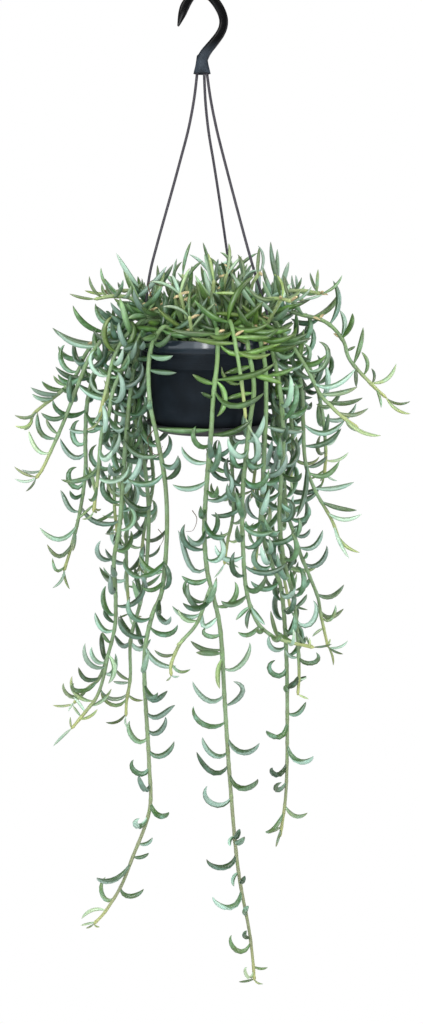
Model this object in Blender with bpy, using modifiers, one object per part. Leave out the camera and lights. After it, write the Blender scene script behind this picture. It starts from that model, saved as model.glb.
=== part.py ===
"""A potted string of bananas in a hanging pot, at real size.

Metres, +Z up. The origin is the hook's seat, the inside top of the hook that a rod or bracket carries.
The constants are in millimetres and, but for the hook's, start at the middle of the rim's top.
"""

import math
import random
from collections import namedtuple

import bmesh
import bpy
import numpy as np
from mathutils import Vector
from mathutils.kdtree import KDTree

MM = 0.001

# The pot hangs a little to the right of the hook's seat, because its right side is heavier.
SEAT_ABOVE_RIM = 356.0
SEAT_LEFT_OF_AXIS = 10.0
CLEAR = 0.3

# Profiles as (radius, height). Each runs down its outer side.
ROUND_STEPS = 32
SOIL_STEPS = 20
BELL_STEPS = 16
RIM_RADIUS = 75.5
LIP_RADIUS = 67.5
WALL = 1.8
POT_HEIGHT = 102.0
RIM_BAND = 14.0
RIM_ROUNDING = 1.2
COLLAR_RADIUS = 75.1
COLLAR_INSIDE = 73.2
COLLAR_FOOT = 31.0
POT_WALL = ((73.0, -33.0), (71.2, -39.0), (70.1, -45.0), (68.9, -60.0))
POT_CORNER = (44.0, -84.0)
POT_CORNER_REACH = (22.6, 18.0)
POT_CORNER_TURNS = (0, 20, 42, 66, 90)
POT_INSIDE = ((56.5, -97.0), (62.0, -91.0), (64.6, -84.0), (67.1, -60.0), (69.0, -40.0))
POT_FLOOR_RADIUS = 44.0
BUTTON_HOLE = 5.0
DRAIN_HOLE = 4.0
DRAIN_CIRCLE = 30.0
DRAIN_HOLES = 5

SAUCER_RADIUS = 72.0
SAUCER_TOP = -93.4
SAUCER_FOOT = 56.0
SAUCER_FLOOR = 2.0
BUTTON_HEAD = 6.0
BUTTON_RISE = 1.6

SOIL_TOP = -12.0
SOIL_LUMP = 1.2
SOIL_RINGS = (54.0, 28.0)
SOIL_GAP = 0.6
STEM_HOLE = 3.6
STEM_HOLE_DEPTH = 8.0

STRAND_RADIUS = 1.3
STRAND_HOLE = 1.7
STRAND_CIRCLE = 70.8
STRAND_STEP = 32.0
CROSS_BAR = 9.0
BELL_X = -7.3
BELL_FOOT = 279.0
BELL_CEILING = 285.0
BELL_OUTSIDE = ((4.4, 298.0), (5.6, 296.5), (6.3, 292.0), (7.1, 287.5), (8.4, 282.5))
STRAND_TOP_CIRCLE = 4.6
STRAND_BELL_SPREAD = 1.2
# Each strand: its azimuth on the rim, and where it passes between the bell and the rim.
STRANDS = {
    "strand_left": (187.0, (
        (-19.8, -2.0, 231.8), (-36.9, -5.0, 169.6), (-61.7, -7.0, 84.9), (-69.0, -8.2, 48.0))),
    "strand_right": (347.0, (
        (6.1, -3.0, 231.7), (22.4, -7.0, 169.4), (46.2, -12.0, 84.8), (60.0, -14.6, 42.0))),
    "strand_back": (63.0, ((-2.1, 14.0, 234.1), (8.4, 28.0, 172.6), (21.5, 46.0, 89.4))),
}

# The hook's middle line, as (x, half width, height). It is flat above, and round at the bell.
HOOK_LINE = (
    (-7.2, 5.6, 286.5), (-7.2, 6.1, 291.5), (-5.6, 6.0, 296.5), (-0.9, 5.3, 303.2), (7.6, 5.0, 312.9),
    (14.1, 4.9, 322.5), (15.7, 4.9, 332.4), (12.4, 4.9, 342.2), (5.5, 4.8, 352.0), (-2.5, 4.75, 358.6),
    (-10.0, 4.75, 360.75), (-16.5, 4.75, 357.8), (-21.3, 4.7, 352.0), (-26.0, 5.1, 344.2),
    (-28.6, 4.2, 337.3), (-30.4, 2.9, 332.4), (-32.3, 1.3, 327.0),
)
HOOK_FLATNESS = 0.6
HOOK_ROUNDNESS = 0.97
HOOK_ROUND_BELOW = 297.0
HOOK_FLAT_ABOVE = 318.0
HOOK_STEP = 6.5

# A long stem is 4.4 mm thick at its root and 2.4 mm at its tip. Its solid has three sides.
STEM_ROOT = 2.2
STEM_TIP = 1.2
LONG_STEM = 500.0
STEM_SIDES = 3
STEM_FULLNESS = 1.3
STEM_STEP = 4.0
ROOT_POINTS = 4
STEM_STRAIGHTNESS = 1.1
STEM_APART = 7.2
CREST_REACH = 92.0
SETTLE_ROUNDS = 50

# A leaf is a slender horn. The fractions give its girth along it.
LEAF_LENGTH = 47.0
LEAF_RADIUS = 3.15
LEAF_WANDER = 0.75
LEAF_GIRTHS = ((0.0, 0.1), (0.3, 0.9), (0.66, 0.92))
LEAF_SIDES = 3
CROWDED_SPACING = 6.6
OPEN_SPACING = 11.5
OPEN_FROM = 270.0
SHOOT_SPACING = 5.6
SOLID_SHARE = 6
TIP_CROWN = (1.5, 3.5, 6.0, 10.0)
TIP_SPACING = 11.0
YOUNG_STRETCH = 55.0
LEAF_CLEAR = 0.55
LEAF_REACH = 9.0
LEAF_TRIES = 40
LEAF_SEED = 11

# How far back or forth the tip of a set leaf may be swung, and the longest bare stretch between two
# set leaves where no other leaf grows.
SET_SWINGS = (0, -7, 7, -14, 14, -21, 21, -28, 28, -35, 35, -42)
SET_GAP = 62.0
SET_ROOM = 5.0
BEND_STRETCH = 1.25
# How a stem's tip is crowned: each leaf's rise from the stem's course, in degrees, and its size.
CROWN_RISES = (10.0, 50.0, 40.0, 30.0)
CROWN_SIZES = (0.75, 0.5, 0.6, 0.8)
SWING_STEP = 14.0
LEAF_NEAR = 70.0

Stem = namedtuple("Stem", "name root crest route forks")
Leaf = namedtuple("Leaf", "stem slot points radius")

# The stems that the front view shows: the root's azimuth and distance from the middle, the height
# of the crest over the rim, the way down, and the side stems.
HANGING = (
    Stem("stem_front_long", (-80, 46), 12, (
        (9, -84, -19), (5, -85, -56), (2, -84, -102), (-2, -82, -148), (-5, -80, -204), (-2, -79, -249),
        (4, -78, -276), (13, -76, -322), (18, -75, -406), (24, -74, -500), (34, -72, -615),
        (48, -70, -700), (53, -70, -742), (55, -70, -769)),
        (((2, -78, -268), (-13, -86, -308), (-32, -90, -331), (-42, -92, -354), (-42, -92, -368)),)),
    Stem("stem_front_right", (-58, 50), 14, (
        (44, -74, -20), (48, -76, -51), (43, -76, -94), (37, -74, -160), (37, -72, -206), (41, -70, -270),
        (52, -68, -309), (67, -66, -327), (86, -64, -337), (120, -60, -346)), ()),
    Stem("stem_front_mid", (-66, 34), 20, (
        (29, -86, -9), (35, -92, -46), (39, -92, -80)), ()),
    Stem("stem_left_near", (-158, 34), 26, (
        (-88, -34, 6), (-104, -40, -20), (-113, -44, -56), (-117, -46, -88)), ()),
    Stem("stem_left_long", (-135, 46), 14, (
        (-63, -60, -12), (-64, -64, -63), (-56, -62, -107), (-48, -60, -157), (-47, -58, -215),
        (-53, -58, -279), (-65, -60, -310), (-74, -62, -365), (-70, -64, -483), (-70, -66, -545),
        (-91, -68, -606), (-105, -70, -642), (-124, -72, -674), (-138, -73, -690)), ()),
    Stem("stem_left_fork", (-158, 52), 16, (
        (-80, -30, -20), (-91, -30, -89), (-102, -26, -207), (-110, -24, -253), (-109, -22, -300),
        (-112, -20, -341), (-129, -17, -396), (-145, -13, -414), (-164, -8, -436)),
        (((-118, -19, -368), (-125, -24, -399), (-133, -27, -420), (-144, -31, -434), (-163, -36, -456)),)),
    Stem("stem_left_inner", (-174, 40), 24, (
        (-84, -8, -10), (-85, -4, -81), (-76, 4, -136), (-71, 8, -197), (-74, 10, -262), (-82, 12, -312),
        (-95, 12, -362), (-96, 10, -408), (-101, 8, -440), (-102, 8, -459)), ()),
    Stem("stem_left_short", (172, 54), 18, (
        (-96, 12, -24), (-108, 16, -95), (-111, 18, -159), (-112, 20, -202), (-109, 22, -234)), ()),
    Stem("stem_left_mid", (161, 48), 14, (
        (-80, 32, -8), (-89, 36, -50), (-95, 38, -98), (-95, 40, -137), (-100, 42, -176),
        (-107, 44, -222)), ()),
    Stem("stem_left_high", (150, 28), 34, (
        (-98, 20, 18), (-124, 22, 1), (-141, 24, -18), (-154, 24, -44), (-167, 22, -59), (-186, 20, -74),
        (-204, 18, -89), (-207, 18, -101)), ()),
    Stem("stem_left_out", (-168, 24), 28, (
        (-104, -18, 10), (-129, -24, -15), (-143, -30, -45), (-162, -32, -91), (-178, -30, -125),
        (-188, -30, -145), (-196, -28, -156)), ()),
    Stem("stem_left_drop", (-142, 28), 22, (
        (-94, -12, 2), (-125, -8, -34), (-138, -4, -70), (-142, -2, -116), (-143, 0, -152), (-151, 2, -201),
        (-164, 6, -248), (-173, 8, -275)), ()),
    Stem("stem_left_side", (-150, 60), 12, (
        (-84, -40, -12), (-104, -44, -52), (-118, -46, -100), (-124, -44, -150), (-130, -42, -192)), ()),
    Stem("stem_right_high", (14, 28), 40, (
        (98, 14, 27), (132, 12, 17), (152, 10, -3), (161, 10, -26), (187, 10, -54), (204, 12, -69)), ()),
    Stem("stem_right_out", (-18, 44), 24, (
        (87, -28, -1), (108, -30, -32), (123, -32, -60), (134, -34, -72), (148, -36, -85),
        (166, -38, -97)), ()),
    Stem("stem_right_drop", (-2, 56), 20, (
        (84, -2, -8), (103, -6, -47), (107, -8, -92), (110, -10, -138), (121, -10, -171), (142, -8, -208),
        (152, -6, -233)), ()),
    Stem("stem_right_tuft", (28, 50), 12, (
        (76, 34, -16), (82, 34, -98), (88, 30, -158), (92, 26, -203), (100, 25, -228), (109, 22, -256),
        (121, 19, -285), (131, 17, -310), (135, 15, -332), (144, 12, -371)), ()),
    Stem("stem_right_front", (-34, 56), 14, (
        (69, -44, -13), (79, -48, -65), (82, -48, -120), (79, -46, -194), (85, -44, -247), (96, -42, -289),
        (102, -40, -334), (105, -40, -383), (104, -40, -412)), ()),
    Stem("stem_right_long", (-46, 38), 18, (
        (58, -60, -12), (62, -63, -64), (60, -58, -143), (60, -50, -211), (72, -42, -254), (83, -38, -284),
        (90, -34, -358), (93, -30, -448), (93, -28, -540), (87, -26, -602)), ()),
    Stem("stem_right_low", (22, 36), 22, (
        (92, 24, -4), (119, 28, -41), (132, 30, -85), (138, 32, -133), (137, 34, -166)), ()),
    Stem("stem_right_side", (8, 58), 13, (
        (83, 12, -18), (92, 16, -72), (98, 20, -122), (96, 24, -166)), ()),
    Stem("stem_back_mid", (72, 52), 14, (
        (26, 80, -16), (27, 84, -79), (27, 84, -135), (30, 80, -215), (23, 78, -255), (19, 76, -285)), ()),
    Stem("stem_back_right", (46, 48), 16, (
        (58, 60, -16), (64, 64, -77), (66, 62, -125), (65, 58, -174), (62, 54, -223), (56, 50, -286)), ()),
)

# The stems at the back, as (azimuth, drop below the rim, reach from the middle at the foot).
BACK_STEMS = (
    (33, 340, 118), (58, 200, 98), (86, 88, 92), (99, 76, 96), (113, 68, 100), (126, 80, 98),
    (139, 290, 108), (150, 350, 122),
)
BACK_SWAY = 9.0
BACK_STEP = 60.0
BACK_START = 83.0

# The upright shoots that make the mound, as (azimuth, distance of the root, height over the rim).
SHOOTS = (
    (-92, 22, 64), (-122, 36, 50), (-66, 12, 72), (-150, 12, 70), (168, 22, 60), (126, 38, 58),
    (96, 22, 72), (60, 36, 60), (30, 14, 74), (-12, 30, 72), (-36, 24, 62), (84, 57, 46),
    (-108, 54, 26), (-24, 62, 46),
)
SHOOT_LEAN = 0.42

# The spreading shoots at the mound's sides, as (azimuth, distance of the root, reach, height at the tip).
SPREADING = (
    (-173, 50, 128, 46), (164, 38, 122, 52), (140, 60, 108, 40), (-4, 42, 126, 52), (20, 60, 118, 44),
    (-31, 38, 108, 44),
)

# Leaves that stand alone in the front view, by stem and line. Each one: the height of its foot, how
# far back its tip reaches, and the points that it passes, as (right, up) from its foot.
SET_LEAVES = {
    ("stem_front_long", 0): (
        (1, -10, (11, -11), (25, -15), (46, -9), (68, -3)), (-40, -14, (21, 3), (38, 7), (62, 21)),
        (-41, -6, (9, -12), (8, -28), (1, -37)), (-44, -8, (-13, 4), (-24, 11)),
        (-51, -12, (10, -11), (24, -15), (38, -7), (51, 3)), (-59, -8, (-7, 3), (-14, 7)),
        (-93, -4, (-23, -1), (-58, 2)), (-98, -10, (18, 2), (43, 18)),
        (-246, 0, (-11, -5), (-24, 16), (-32, 42)), (-258, 0, (-13, -6), (-30, 2)),
        (-280, 0, (-17, -7), (-33, 6)), (-291, 0, (15, 2), (23, 15), (21, 28)),
        (-304, 0, (-16, -11), (-17, 3)), (-323, 0, (-12, -5), (-19, -1), (-16, 6)),
        (-343, 0, (-11, -2), (-35, 10)), (-348, -22, (-16, 4), (-29, 9)),
        (-353, -10, (-5, -12), (-3, -24)), (-364, 0, (9, -3), (21, 4), (30, 30)),
        (-396, 0, (-15, -8), (-29, 3), (-36, 18)), (-410, 0, (12, 6), (20, 18), (9, 29)),
        (-429, 0, (-16, -6), (-32, 3), (-37, 21)), (-448, 0, (15, -15), (26, -10), (36, 5)),
        (-467, 0, (-11, -5), (-25, 7), (-29, 21)), (-483, 0, (-15, -10), (-31, 5), (-37, 19)),
        (-493, 0, (12, -14), (26, -5), (31, 9)), (-524, 0, (-16, -10), (-28, -2), (-28, 17)),
        (-575, -16, (-6, -2), (-5, -4)), (-578, -18, (2, 10), (5, 26)), (-582, -16, (4, 9), (10, 27)),
        (-596, 0, (-20, -19), (-31, -13), (-35, -5)), (-623, -14, (-7, -5), (-6, -10)),
        (-635, -14, (2, 7), (5, 21)), (-643, 0, (-20, -24), (-31, -15), (-34, -7)),
        (-680, -14, (-2, 14), (2, 30)), (-711, -12, (-7, 9), (-5, 23)),
        (-716, 0, (-13, -12), (-22, -3), (-23, 14)), (-749, 0, (10, -4), (18, -2)),
        (-755, 0, (-4, -7), (-10, 3), (-8, 14)), (-767, 0, (-9, -3), (-19, -4)),
        (-767, 0, (5, -6), (11, -7)),),
    ("stem_front_long", 1): (
        (-305, 0, (-11, 0), (-22, 13)), (-327, 0, (-2, -1), (-7, -3)), (-342, 0, (-11, -3), (-23, 4)),
        (-353, 0, (9, -10), (21, -7)), (-367, 0, (3, -2), (9, -1)), (-368, 0, (-3, -4), (-6, -6)),),
    ("stem_front_right", 0): (
        (-3, -10, (-4, 3), (-18, 9)), (-13, -9, (-14, -1), (-25, 5)), (-26, -12, (-12, -3), (-29, -7)),
        (-36, -12, (12, -2), (31, -8)), (-55, -12, (-15, -2), (-30, -6)),
        (-89, -12, (-15, -7), (-41, -13)), (-294, 0, (7, -8), (15, -15)), (-294, 0, (-10, -7), (-17, -14)),
        (-296, 0, (-5, -10), (-5, -20)), (-317, 0, (-16, -11), (-25, -6)),),
    ("stem_left_long", 0): (
        (-151, 0, (11, 6), (17, 26)), (-208, 0, (5, -6), (2, -14)), (-228, 0, (-9, -3), (-18, 3)),
        (-397, 0, (9, -9), (18, -3), (27, 8)), (-423, 0, (10, -6), (22, 1), (34, 11)),
        (-444, 0, (9, -6), (18, 1), (21, 15)), (-454, 0, (-10, -6), (-18, 1), (-20, 20)),
        (-469, 0, (13, -9), (25, -1), (30, 10)), (-490, 0, (-12, -10), (-20, -3), (-18, 8)),
        (-511, 0, (-4, -7), (-10, 3), (-12, 16)), (-533, 0, (9, -14), (17, -10), (23, 0)),
        (-552, 0, (-8, -8), (-13, -1), (-7, 12)), (-588, 0, (10, 0), (17, 8)), (-604, 0, (6, -1), (19, 5)),
        (-611, 0, (-19, -15), (-30, -8), (-36, 5)), (-643, 0, (11, -12), (21, -9), (28, -2)),
        (-655, 0, (-13, -8), (-18, -2), (-13, 9)), (-673, 0, (-11, 2), (-21, -2), (-29, -11)),
        (-688, 0, (-9, 0), (-17, 0)), (-690, 0, (-5, -4), (-10, -6)), (-690, 0, (4, -4), (7, -4)),),
    ("stem_right_long", 0): (
        (-377, 0, (-13, -13), (-20, -6), (-13, 6)), (-404, 0, (13, 7), (23, 13)),
        (-406, -6, (7, 10), (10, 25)), (-409, -12, (-2, 6), (-5, 16)), (-438, 0, (4, -2), (22, 14)),
        (-447, 0, (-17, -19), (-24, -12), (-25, -8)), (-476, 0, (13, -19), (23, -13), (28, -1)),
        (-502, 0, (-13, -13), (-19, -5), (-18, 3)), (-527, 0, (-10, -8), (-14, -2), (-7, 9)),
        (-559, 0, (18, -15), (28, -10)), (-568, 0, (-14, -16), (-24, -11)), (-587, 0, (-8, -6), (-17, -9)),
        (-591, 0, (-4, -6), (-8, -13)),),
    ("stem_left_fork", 0): (
        (-330, 0, (-9, 9), (-12, 18)), (-338, 0, (-10, -2), (-18, 7), (-22, 21)),
        (-355, 0, (-5, 6), (-9, 16)), (-370, 0, (8, -15), (1, -31)),
        (-378, 0, (-7, -2), (-16, 8), (-16, 18)), (-380, -8, (-2, -10), (-5, -21)),
        (-399, 0, (-12, -1), (-23, 18)), (-403, 0, (-17, -9), (-26, -2), (-23, 10)),
        (-415, 0, (-15, -8), (-24, 1), (-25, 16)), (-434, 0, (-3, -2), (-7, -9)),
        (-436, 0, (-11, -3), (-25, -2)),),
    ("stem_left_fork", 1): (
        (-437, 0, (-5, 9), (-13, 19)), (-442, 0, (-5, 7), (-10, 15)), (-445, 0, (13, 5), (23, 16)),
        (-455, 0, (-11, -10), (-23, -23)), (-456, 0, (-1, 6), (-1, 15)),),
    ("stem_left_inner", 0): (
        (-363, 0, (-11, -11), (-22, -1)), (-363, 0, (11, -15), (23, -7)), (-412, 0, (-9, 4), (-17, 14)),
        (-415, 0, (-10, -1), (-20, 1)), (-428, 0, (-16, -9), (-29, -4), (-33, 6)),
        (-430, 0, (10, -8), (19, -8)), (-434, -8, (-15, -9), (-27, 1), (-30, 12)),
        (-455, 0, (-10, -8), (-24, -6)), (-459, 0, (-1, -8), (2, -16)),),
    ("stem_left_drop", 0): (
        (-90, 0, (12, -2), (23, 0)), (-106, 0, (-11, 0), (-20, 3)), (-106, 0, (9, 1), (17, 5)),
        (-117, 0, (-11, -4), (-16, 5), (-8, 23)), (-129, 0, (-14, -7), (-23, 1), (-29, 15)),
        (-147, 0, (6, -9), (17, 7)), (-154, 0, (3, -9), (3, -23)),
        (-163, 0, (-11, -9), (-18, 1), (-8, 15)), (-179, 0, (-7, -4), (-13, 6)),
        (-200, 0, (-7, 0), (-16, 12), (-22, 25)), (-218, 0, (-16, -13), (-39, 4)),
        (-226, -6, (0, -8), (-1, -19)), (-240, 0, (-12, -13), (-26, 4)), (-267, 0, (-7, -5), (-13, 13)),
        (-271, 0, (-3, -12), (-12, -18)), (-273, 0, (2, -15), (6, -24)),),
    ("stem_left_out", 0): (
        (-82, 0, (-12, -5), (-26, 3)), (-105, 0, (-7, 6), (-13, 18)), (-110, 0, (-11, 1), (-20, 29)),
        (-126, 0, (-10, 0), (-19, 11), (-23, 25)), (-146, 0, (-10, -2), (-21, 2)),
        (-154, 0, (-11, -5), (-25, -2)), (-154, 0, (-14, 4), (-25, 12)), (-156, 0, (-6, -10), (-12, -15)),),
    ("stem_left_high", 0): (
        (-55, 0, (-8, 2), (-16, 11)), (-60, 0, (-16, -1), (-29, 7)), (-65, 0, (-13, 0), (-29, 9)),
        (-69, 0, (-13, -1), (-22, 6)), (-73, 0, (-6, -2), (-15, -1)), (-85, 0, (-8, -6), (-22, -2)),
        (-91, 0, (-5, -10), (-17, -8)), (-101, 0, (-4, -4), (-9, -6)),),
    ("stem_right_high", 0): (
        (14, 0, (10, 28), (3, 49)), (-1, 0, (4, 17), (-2, 31)), (-2, 0, (9, 16), (9, 29)),
        (-15, 0, (5, 2), (10, 5)), (-31, 0, (6, 17), (10, 42)), (-34, -10, (0, -11), (0, -22)),
        (-43, 0, (4, 10), (-4, 27)), (-52, 0, (15, 2), (29, 22)), (-53, 12, (4, 9), (1, 17)),
        (-58, -6, (4, -10), (5, -21)), (-69, 0, (15, -7), (28, -4)), (-69, 0, (12, -13), (25, -16)),),
    ("stem_right_out", 0): (
        (-47, 0, (16, -5), (31, 2), (44, 16)), (-60, 0, (22, 1), (41, 8)), (-68, 0, (21, -3), (42, 3)),
        (-73, 0, (-9, 0), (-17, 3)), (-79, 0, (17, -6), (39, 1)), (-87, 0, (10, -12), (23, -16)),
        (-87, 0, (16, -12), (34, -13)),),
    ("stem_right_drop", 0): (
        (-96, 0, (22, -11), (47, 4)), (-121, 0, (24, 3), (42, 20)), (-142, 0, (-3, -31), (-14, -54)),
        (-146, 0, (10, 2), (23, 13)), (-152, 0, (14, -5), (36, 13)), (-170, 0, (19, -1), (46, 7)),
        (-186, 0, (16, -6), (41, -9)), (-199, 0, (17, -7), (38, 1)), (-216, -5, (6, -17), (15, -32)),
        (-224, 0, (8, -12), (25, -19)),),
    ("stem_right_tuft", 0): (
        (-225, 0, (14, 6), (18, 19), (14, 35)), (-233, 0, (12, -2), (19, 7)),
        (-249, 0, (13, -2), (29, 21)), (-264, 0, (4, 5), (4, 11)), (-267, 0, (15, -4), (25, 7), (27, 21)),
        (-285, 0, (-4, -13), (-16, -21)), (-305, 0, (14, -6), (34, 9)), (-325, 0, (12, -13), (31, -5)),
        (-334, 0, (9, -4), (14, 2), (16, 15)), (-348, 0, (-8, -5), (-14, -11)), (-370, 0, (1, 5), (2, 12)),
        (-371, 0, (12, -1), (24, 8)), (-371, 0, (6, -13), (7, -24)), (-371, 0, (9, -4), (17, -4)),),
    ("stem_right_front", 0): (
        (-304, 0, (7, 5), (14, 16)), (-320, 0, (14, -6), (23, 8), (19, 24)), (-350, 0, (8, 5), (8, 11)),
        (-362, 0, (11, -9), (21, -4), (19, 8)), (-365, 0, (-7, 0), (-15, 9)), (-393, 0, (5, 1), (10, 3)),
        (-411, 0, (6, -3), (13, -6)),),
}

POT_GREY = (0.018, 0.021, 0.026, 1.0)
SAUCER_GREY = (0.030, 0.030, 0.038, 1.0)
HOOK_BLACK = (0.012, 0.012, 0.014, 1.0)
STRAND_GREY = (0.055, 0.050, 0.060, 1.0)
SOIL_BROWN = (0.030, 0.018, 0.010, 1.0)
LEAF_GREEN = (0.110, 0.210, 0.110, 1.0)


def polar(azimuth, distance):
    """(x, y) at an azimuth in degrees, counted from +X towards +Y."""
    angle = math.radians(azimuth)
    return distance * math.cos(angle), distance * math.sin(angle)


def finish_of(name, colour, roughness):
    material = bpy.data.materials.new(name)
    material.use_nodes = True
    shader = material.node_tree.nodes["Principled BSDF"]
    shader.inputs["Base Color"].default_value = colour
    shader.inputs["Roughness"].default_value = roughness
    shader.inputs["Metallic"].default_value = 0.0
    return material


def add_object(name, data, collection, material=None):
    obj = bpy.data.objects.new(name, data)
    collection.objects.link(obj)
    if material:
        data.materials.append(material)
    return obj


def hide_cutter(obj):
    obj.hide_render = True
    obj.display_type = "WIRE"


def apply_modifiers(obj):
    """Replaces the object's mesh by what its modifiers make of it."""
    bpy.context.view_layer.update()
    evaluated = obj.evaluated_get(bpy.context.evaluated_depsgraph_get())
    mesh = bpy.data.meshes.new_from_object(evaluated)
    obj.modifiers.clear()
    obj.data = mesh


def combine(obj, operation, pieces):
    """One applied Boolean with every object of the collection, whose objects are then removed."""
    boolean = obj.modifiers.new("combine", "BOOLEAN")
    boolean.operation = operation
    boolean.operand_type = "COLLECTION"
    boolean.collection = pieces
    boolean.solver = "EXACT"
    apply_modifiers(obj)
    for piece in list(pieces.objects):
        bpy.data.objects.remove(piece)
    bpy.data.collections.remove(pieces)


def turned(name, profile, collection, material, steps=ROUND_STEPS, closed=True):
    """A profile of (radius, height) points, turned round the axis."""
    mesh = bpy.data.meshes.new(name)
    points = [(radius * MM, 0.0, height * MM) for radius, height in profile]
    edges = [(k, k + 1) for k in range(len(points) - 1)]
    if closed:
        edges.append((len(points) - 1, 0))
    mesh.from_pydata(points, edges, [])
    obj = add_object(name, mesh, collection, material)
    screw = obj.modifiers.new("turn", "SCREW")
    screw.steps = steps
    screw.render_steps = steps
    screw.use_merge_vertices = True
    screw.merge_threshold = 0.00001
    screw.use_smooth_shade = True
    return obj


def upright_cylinder(name, centre, radius, low, high, sides, collection):
    mesh = bpy.data.meshes.new(name)
    shape = bmesh.new()
    bmesh.ops.create_cone(
        shape, cap_ends=True, segments=sides, radius1=radius * MM, radius2=radius * MM,
        depth=(high - low) * MM
    )
    bmesh.ops.translate(shape, vec=Vector((centre[0], centre[1], (low + high) / 2)) * MM, verts=shape.verts)
    shape.to_mesh(mesh)
    shape.free()
    return add_object(name, mesh, collection)


def pot_outline():
    """The pot's outer side from the lip down to its floor."""
    middle, low = POT_CORNER
    across, down = POT_CORNER_REACH
    turns = [math.radians(turn) for turn in POT_CORNER_TURNS]
    corner = [(middle + across * math.cos(turn), low - down * math.sin(turn)) for turn in turns]
    rim = [
        (LIP_RADIUS, 0.0), (RIM_RADIUS - RIM_ROUNDING, 0.0), (RIM_RADIUS, -RIM_ROUNDING),
        (RIM_RADIUS, 1.0 - RIM_BAND), (RIM_RADIUS - 1.0, -RIM_BAND),
        (COLLAR_RADIUS, -RIM_BAND - 1.6), (COLLAR_RADIUS, 0.5 - COLLAR_FOOT),
    ]
    return rim + list(POT_WALL) + corner


def make_pot(parts, cutters):
    floor = WALL - POT_HEIGHT
    inner = [(BUTTON_HOLE, -POT_HEIGHT), (BUTTON_HOLE, floor), (POT_FLOOR_RADIUS, floor)] + list(POT_INSIDE)
    inner += [(COLLAR_INSIDE, 0.5 - COLLAR_FOOT), (COLLAR_INSIDE, -WALL), (LIP_RADIUS, -WALL)]
    pot = turned("pot", pot_outline() + inner, parts, finish_of("pot plastic", POT_GREY, 0.38))
    holes = [polar(azimuth, STRAND_CIRCLE) + (STRAND_HOLE, -5.0, 5.0) for azimuth, _ in STRANDS.values()]
    for k in range(DRAIN_HOLES):
        place = polar(360 * k / DRAIN_HOLES + 18, DRAIN_CIRCLE)
        holes.append(place + (DRAIN_HOLE, -POT_HEIGHT - 3.0, 3.0 - POT_HEIGHT))
    for k, (x, y, radius, low, high) in enumerate(holes):
        cutter = upright_cylinder(f"pot_hole_{k}", (x, y), radius, low, high, 8, cutters)
        hide_cutter(cutter)
        cut = pot.modifiers.new(f"hole {k}", "BOOLEAN")
        cut.operation = "DIFFERENCE"
        cut.object = cutter
        cut.solver = "EXACT"
    return pot


def saucer_outline():
    """The saucer's outer side, from its lip to its foot."""
    return [
        (SAUCER_RADIUS - 0.6, SAUCER_TOP), (SAUCER_RADIUS, SAUCER_TOP - 0.8), (70.6, -96.2), (62.0, -101.0),
        (SAUCER_FOOT + 1.0, -CLEAR - POT_HEIGHT - SAUCER_FLOOR),
    ]


def make_saucer(parts):
    """The tray, with the button that snaps through the pot's middle hole."""
    floor = -CLEAR - POT_HEIGHT
    head = WALL - POT_HEIGHT + CLEAR
    button = [
        (0.0, floor - SAUCER_FLOOR), (0.0, head + BUTTON_RISE), (BUTTON_HEAD - 1.4, head + BUTTON_RISE),
        (BUTTON_HEAD, head), (BUTTON_HOLE - 0.4, head), (BUTTON_HOLE - 0.4, floor),
    ]
    inner = [(SAUCER_FOOT - 1.0, floor), (61.0, -99.6), (69.4, SAUCER_TOP - 1.6), (70.0, SAUCER_TOP)]
    plastic = finish_of("saucer plastic", SAUCER_GREY, 0.34)
    return turned("saucer", saucer_outline() + button + inner, parts, plastic)


def soil_height(x, y):
    """The lumps of the soil's top."""
    lumps = math.sin(0.21 * x + 1.3) * math.cos(0.17 * y - 0.4) + 0.6 * math.sin(0.43 * x - 0.37 * y)
    return SOIL_TOP + SOIL_LUMP * lumps / 1.6


def make_soil(parts, roots):
    """The filling of the pot, with a plain hole for each stem."""
    bottom = WALL - POT_HEIGHT + CLEAR
    side = COLLAR_INSIDE - SOIL_GAP
    dip = BUTTON_HEAD + 0.7
    profile = [(0.0, SOIL_TOP)] + [(radius, SOIL_TOP) for radius in reversed(SOIL_RINGS)]
    profile += [(side - 2.4, SOIL_TOP), (side, SOIL_TOP - 2.0), (side, 1.0 - COLLAR_FOOT)]
    profile += [(radius - SOIL_GAP, height + 0.2) for radius, height in reversed(POT_INSIDE)]
    profile += [(POT_FLOOR_RADIUS - SOIL_GAP, bottom), (dip, bottom), (dip, bottom + BUTTON_RISE + 0.6)]
    profile.append((0.0, bottom + BUTTON_RISE + 0.6))
    brown = finish_of("potting soil", SOIL_BROWN, 0.95)
    soil = turned("soil", profile, parts, brown, SOIL_STEPS, closed=False)
    apply_modifiers(soil)
    for vertex in soil.data.vertices:
        x, y, z = vertex.co / MM
        if z > SOIL_TOP - 0.5 and math.hypot(x, y) < SOIL_RINGS[0] + 1.0:
            vertex.co.z = soil_height(x, y) * MM
    holes = bpy.data.collections.new("stem holes")
    bpy.context.scene.collection.children.link(holes)
    for k, (x, y) in enumerate(roots):
        low = soil_height(x, y) - STEM_HOLE_DEPTH
        upright_cylinder(f"stem_hole_{k}", (x, y), STEM_HOLE, low, SOIL_TOP + 8.0, 6, holes)
    combine(soil, "DIFFERENCE", holes)
    return soil


def as_mesh(obj):
    """Turns a curve object into a closed mesh object of the same name."""
    bpy.context.view_layer.update()
    evaluated = obj.evaluated_get(bpy.context.evaluated_depsgraph_get())
    mesh = bpy.data.meshes.new_from_object(evaluated)
    shape = bmesh.new()
    shape.from_mesh(mesh)
    bmesh.ops.remove_doubles(shape, verts=shape.verts, dist=0.00001)
    bmesh.ops.recalc_face_normals(shape, faces=shape.faces)
    shape.to_mesh(mesh)
    shape.free()
    name, collection, place = obj.name, obj.users_collection[0], obj.matrix_world.copy()
    bpy.data.objects.remove(obj)
    solid = add_object(name, mesh, collection)
    solid.matrix_world = place
    return solid


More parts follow.
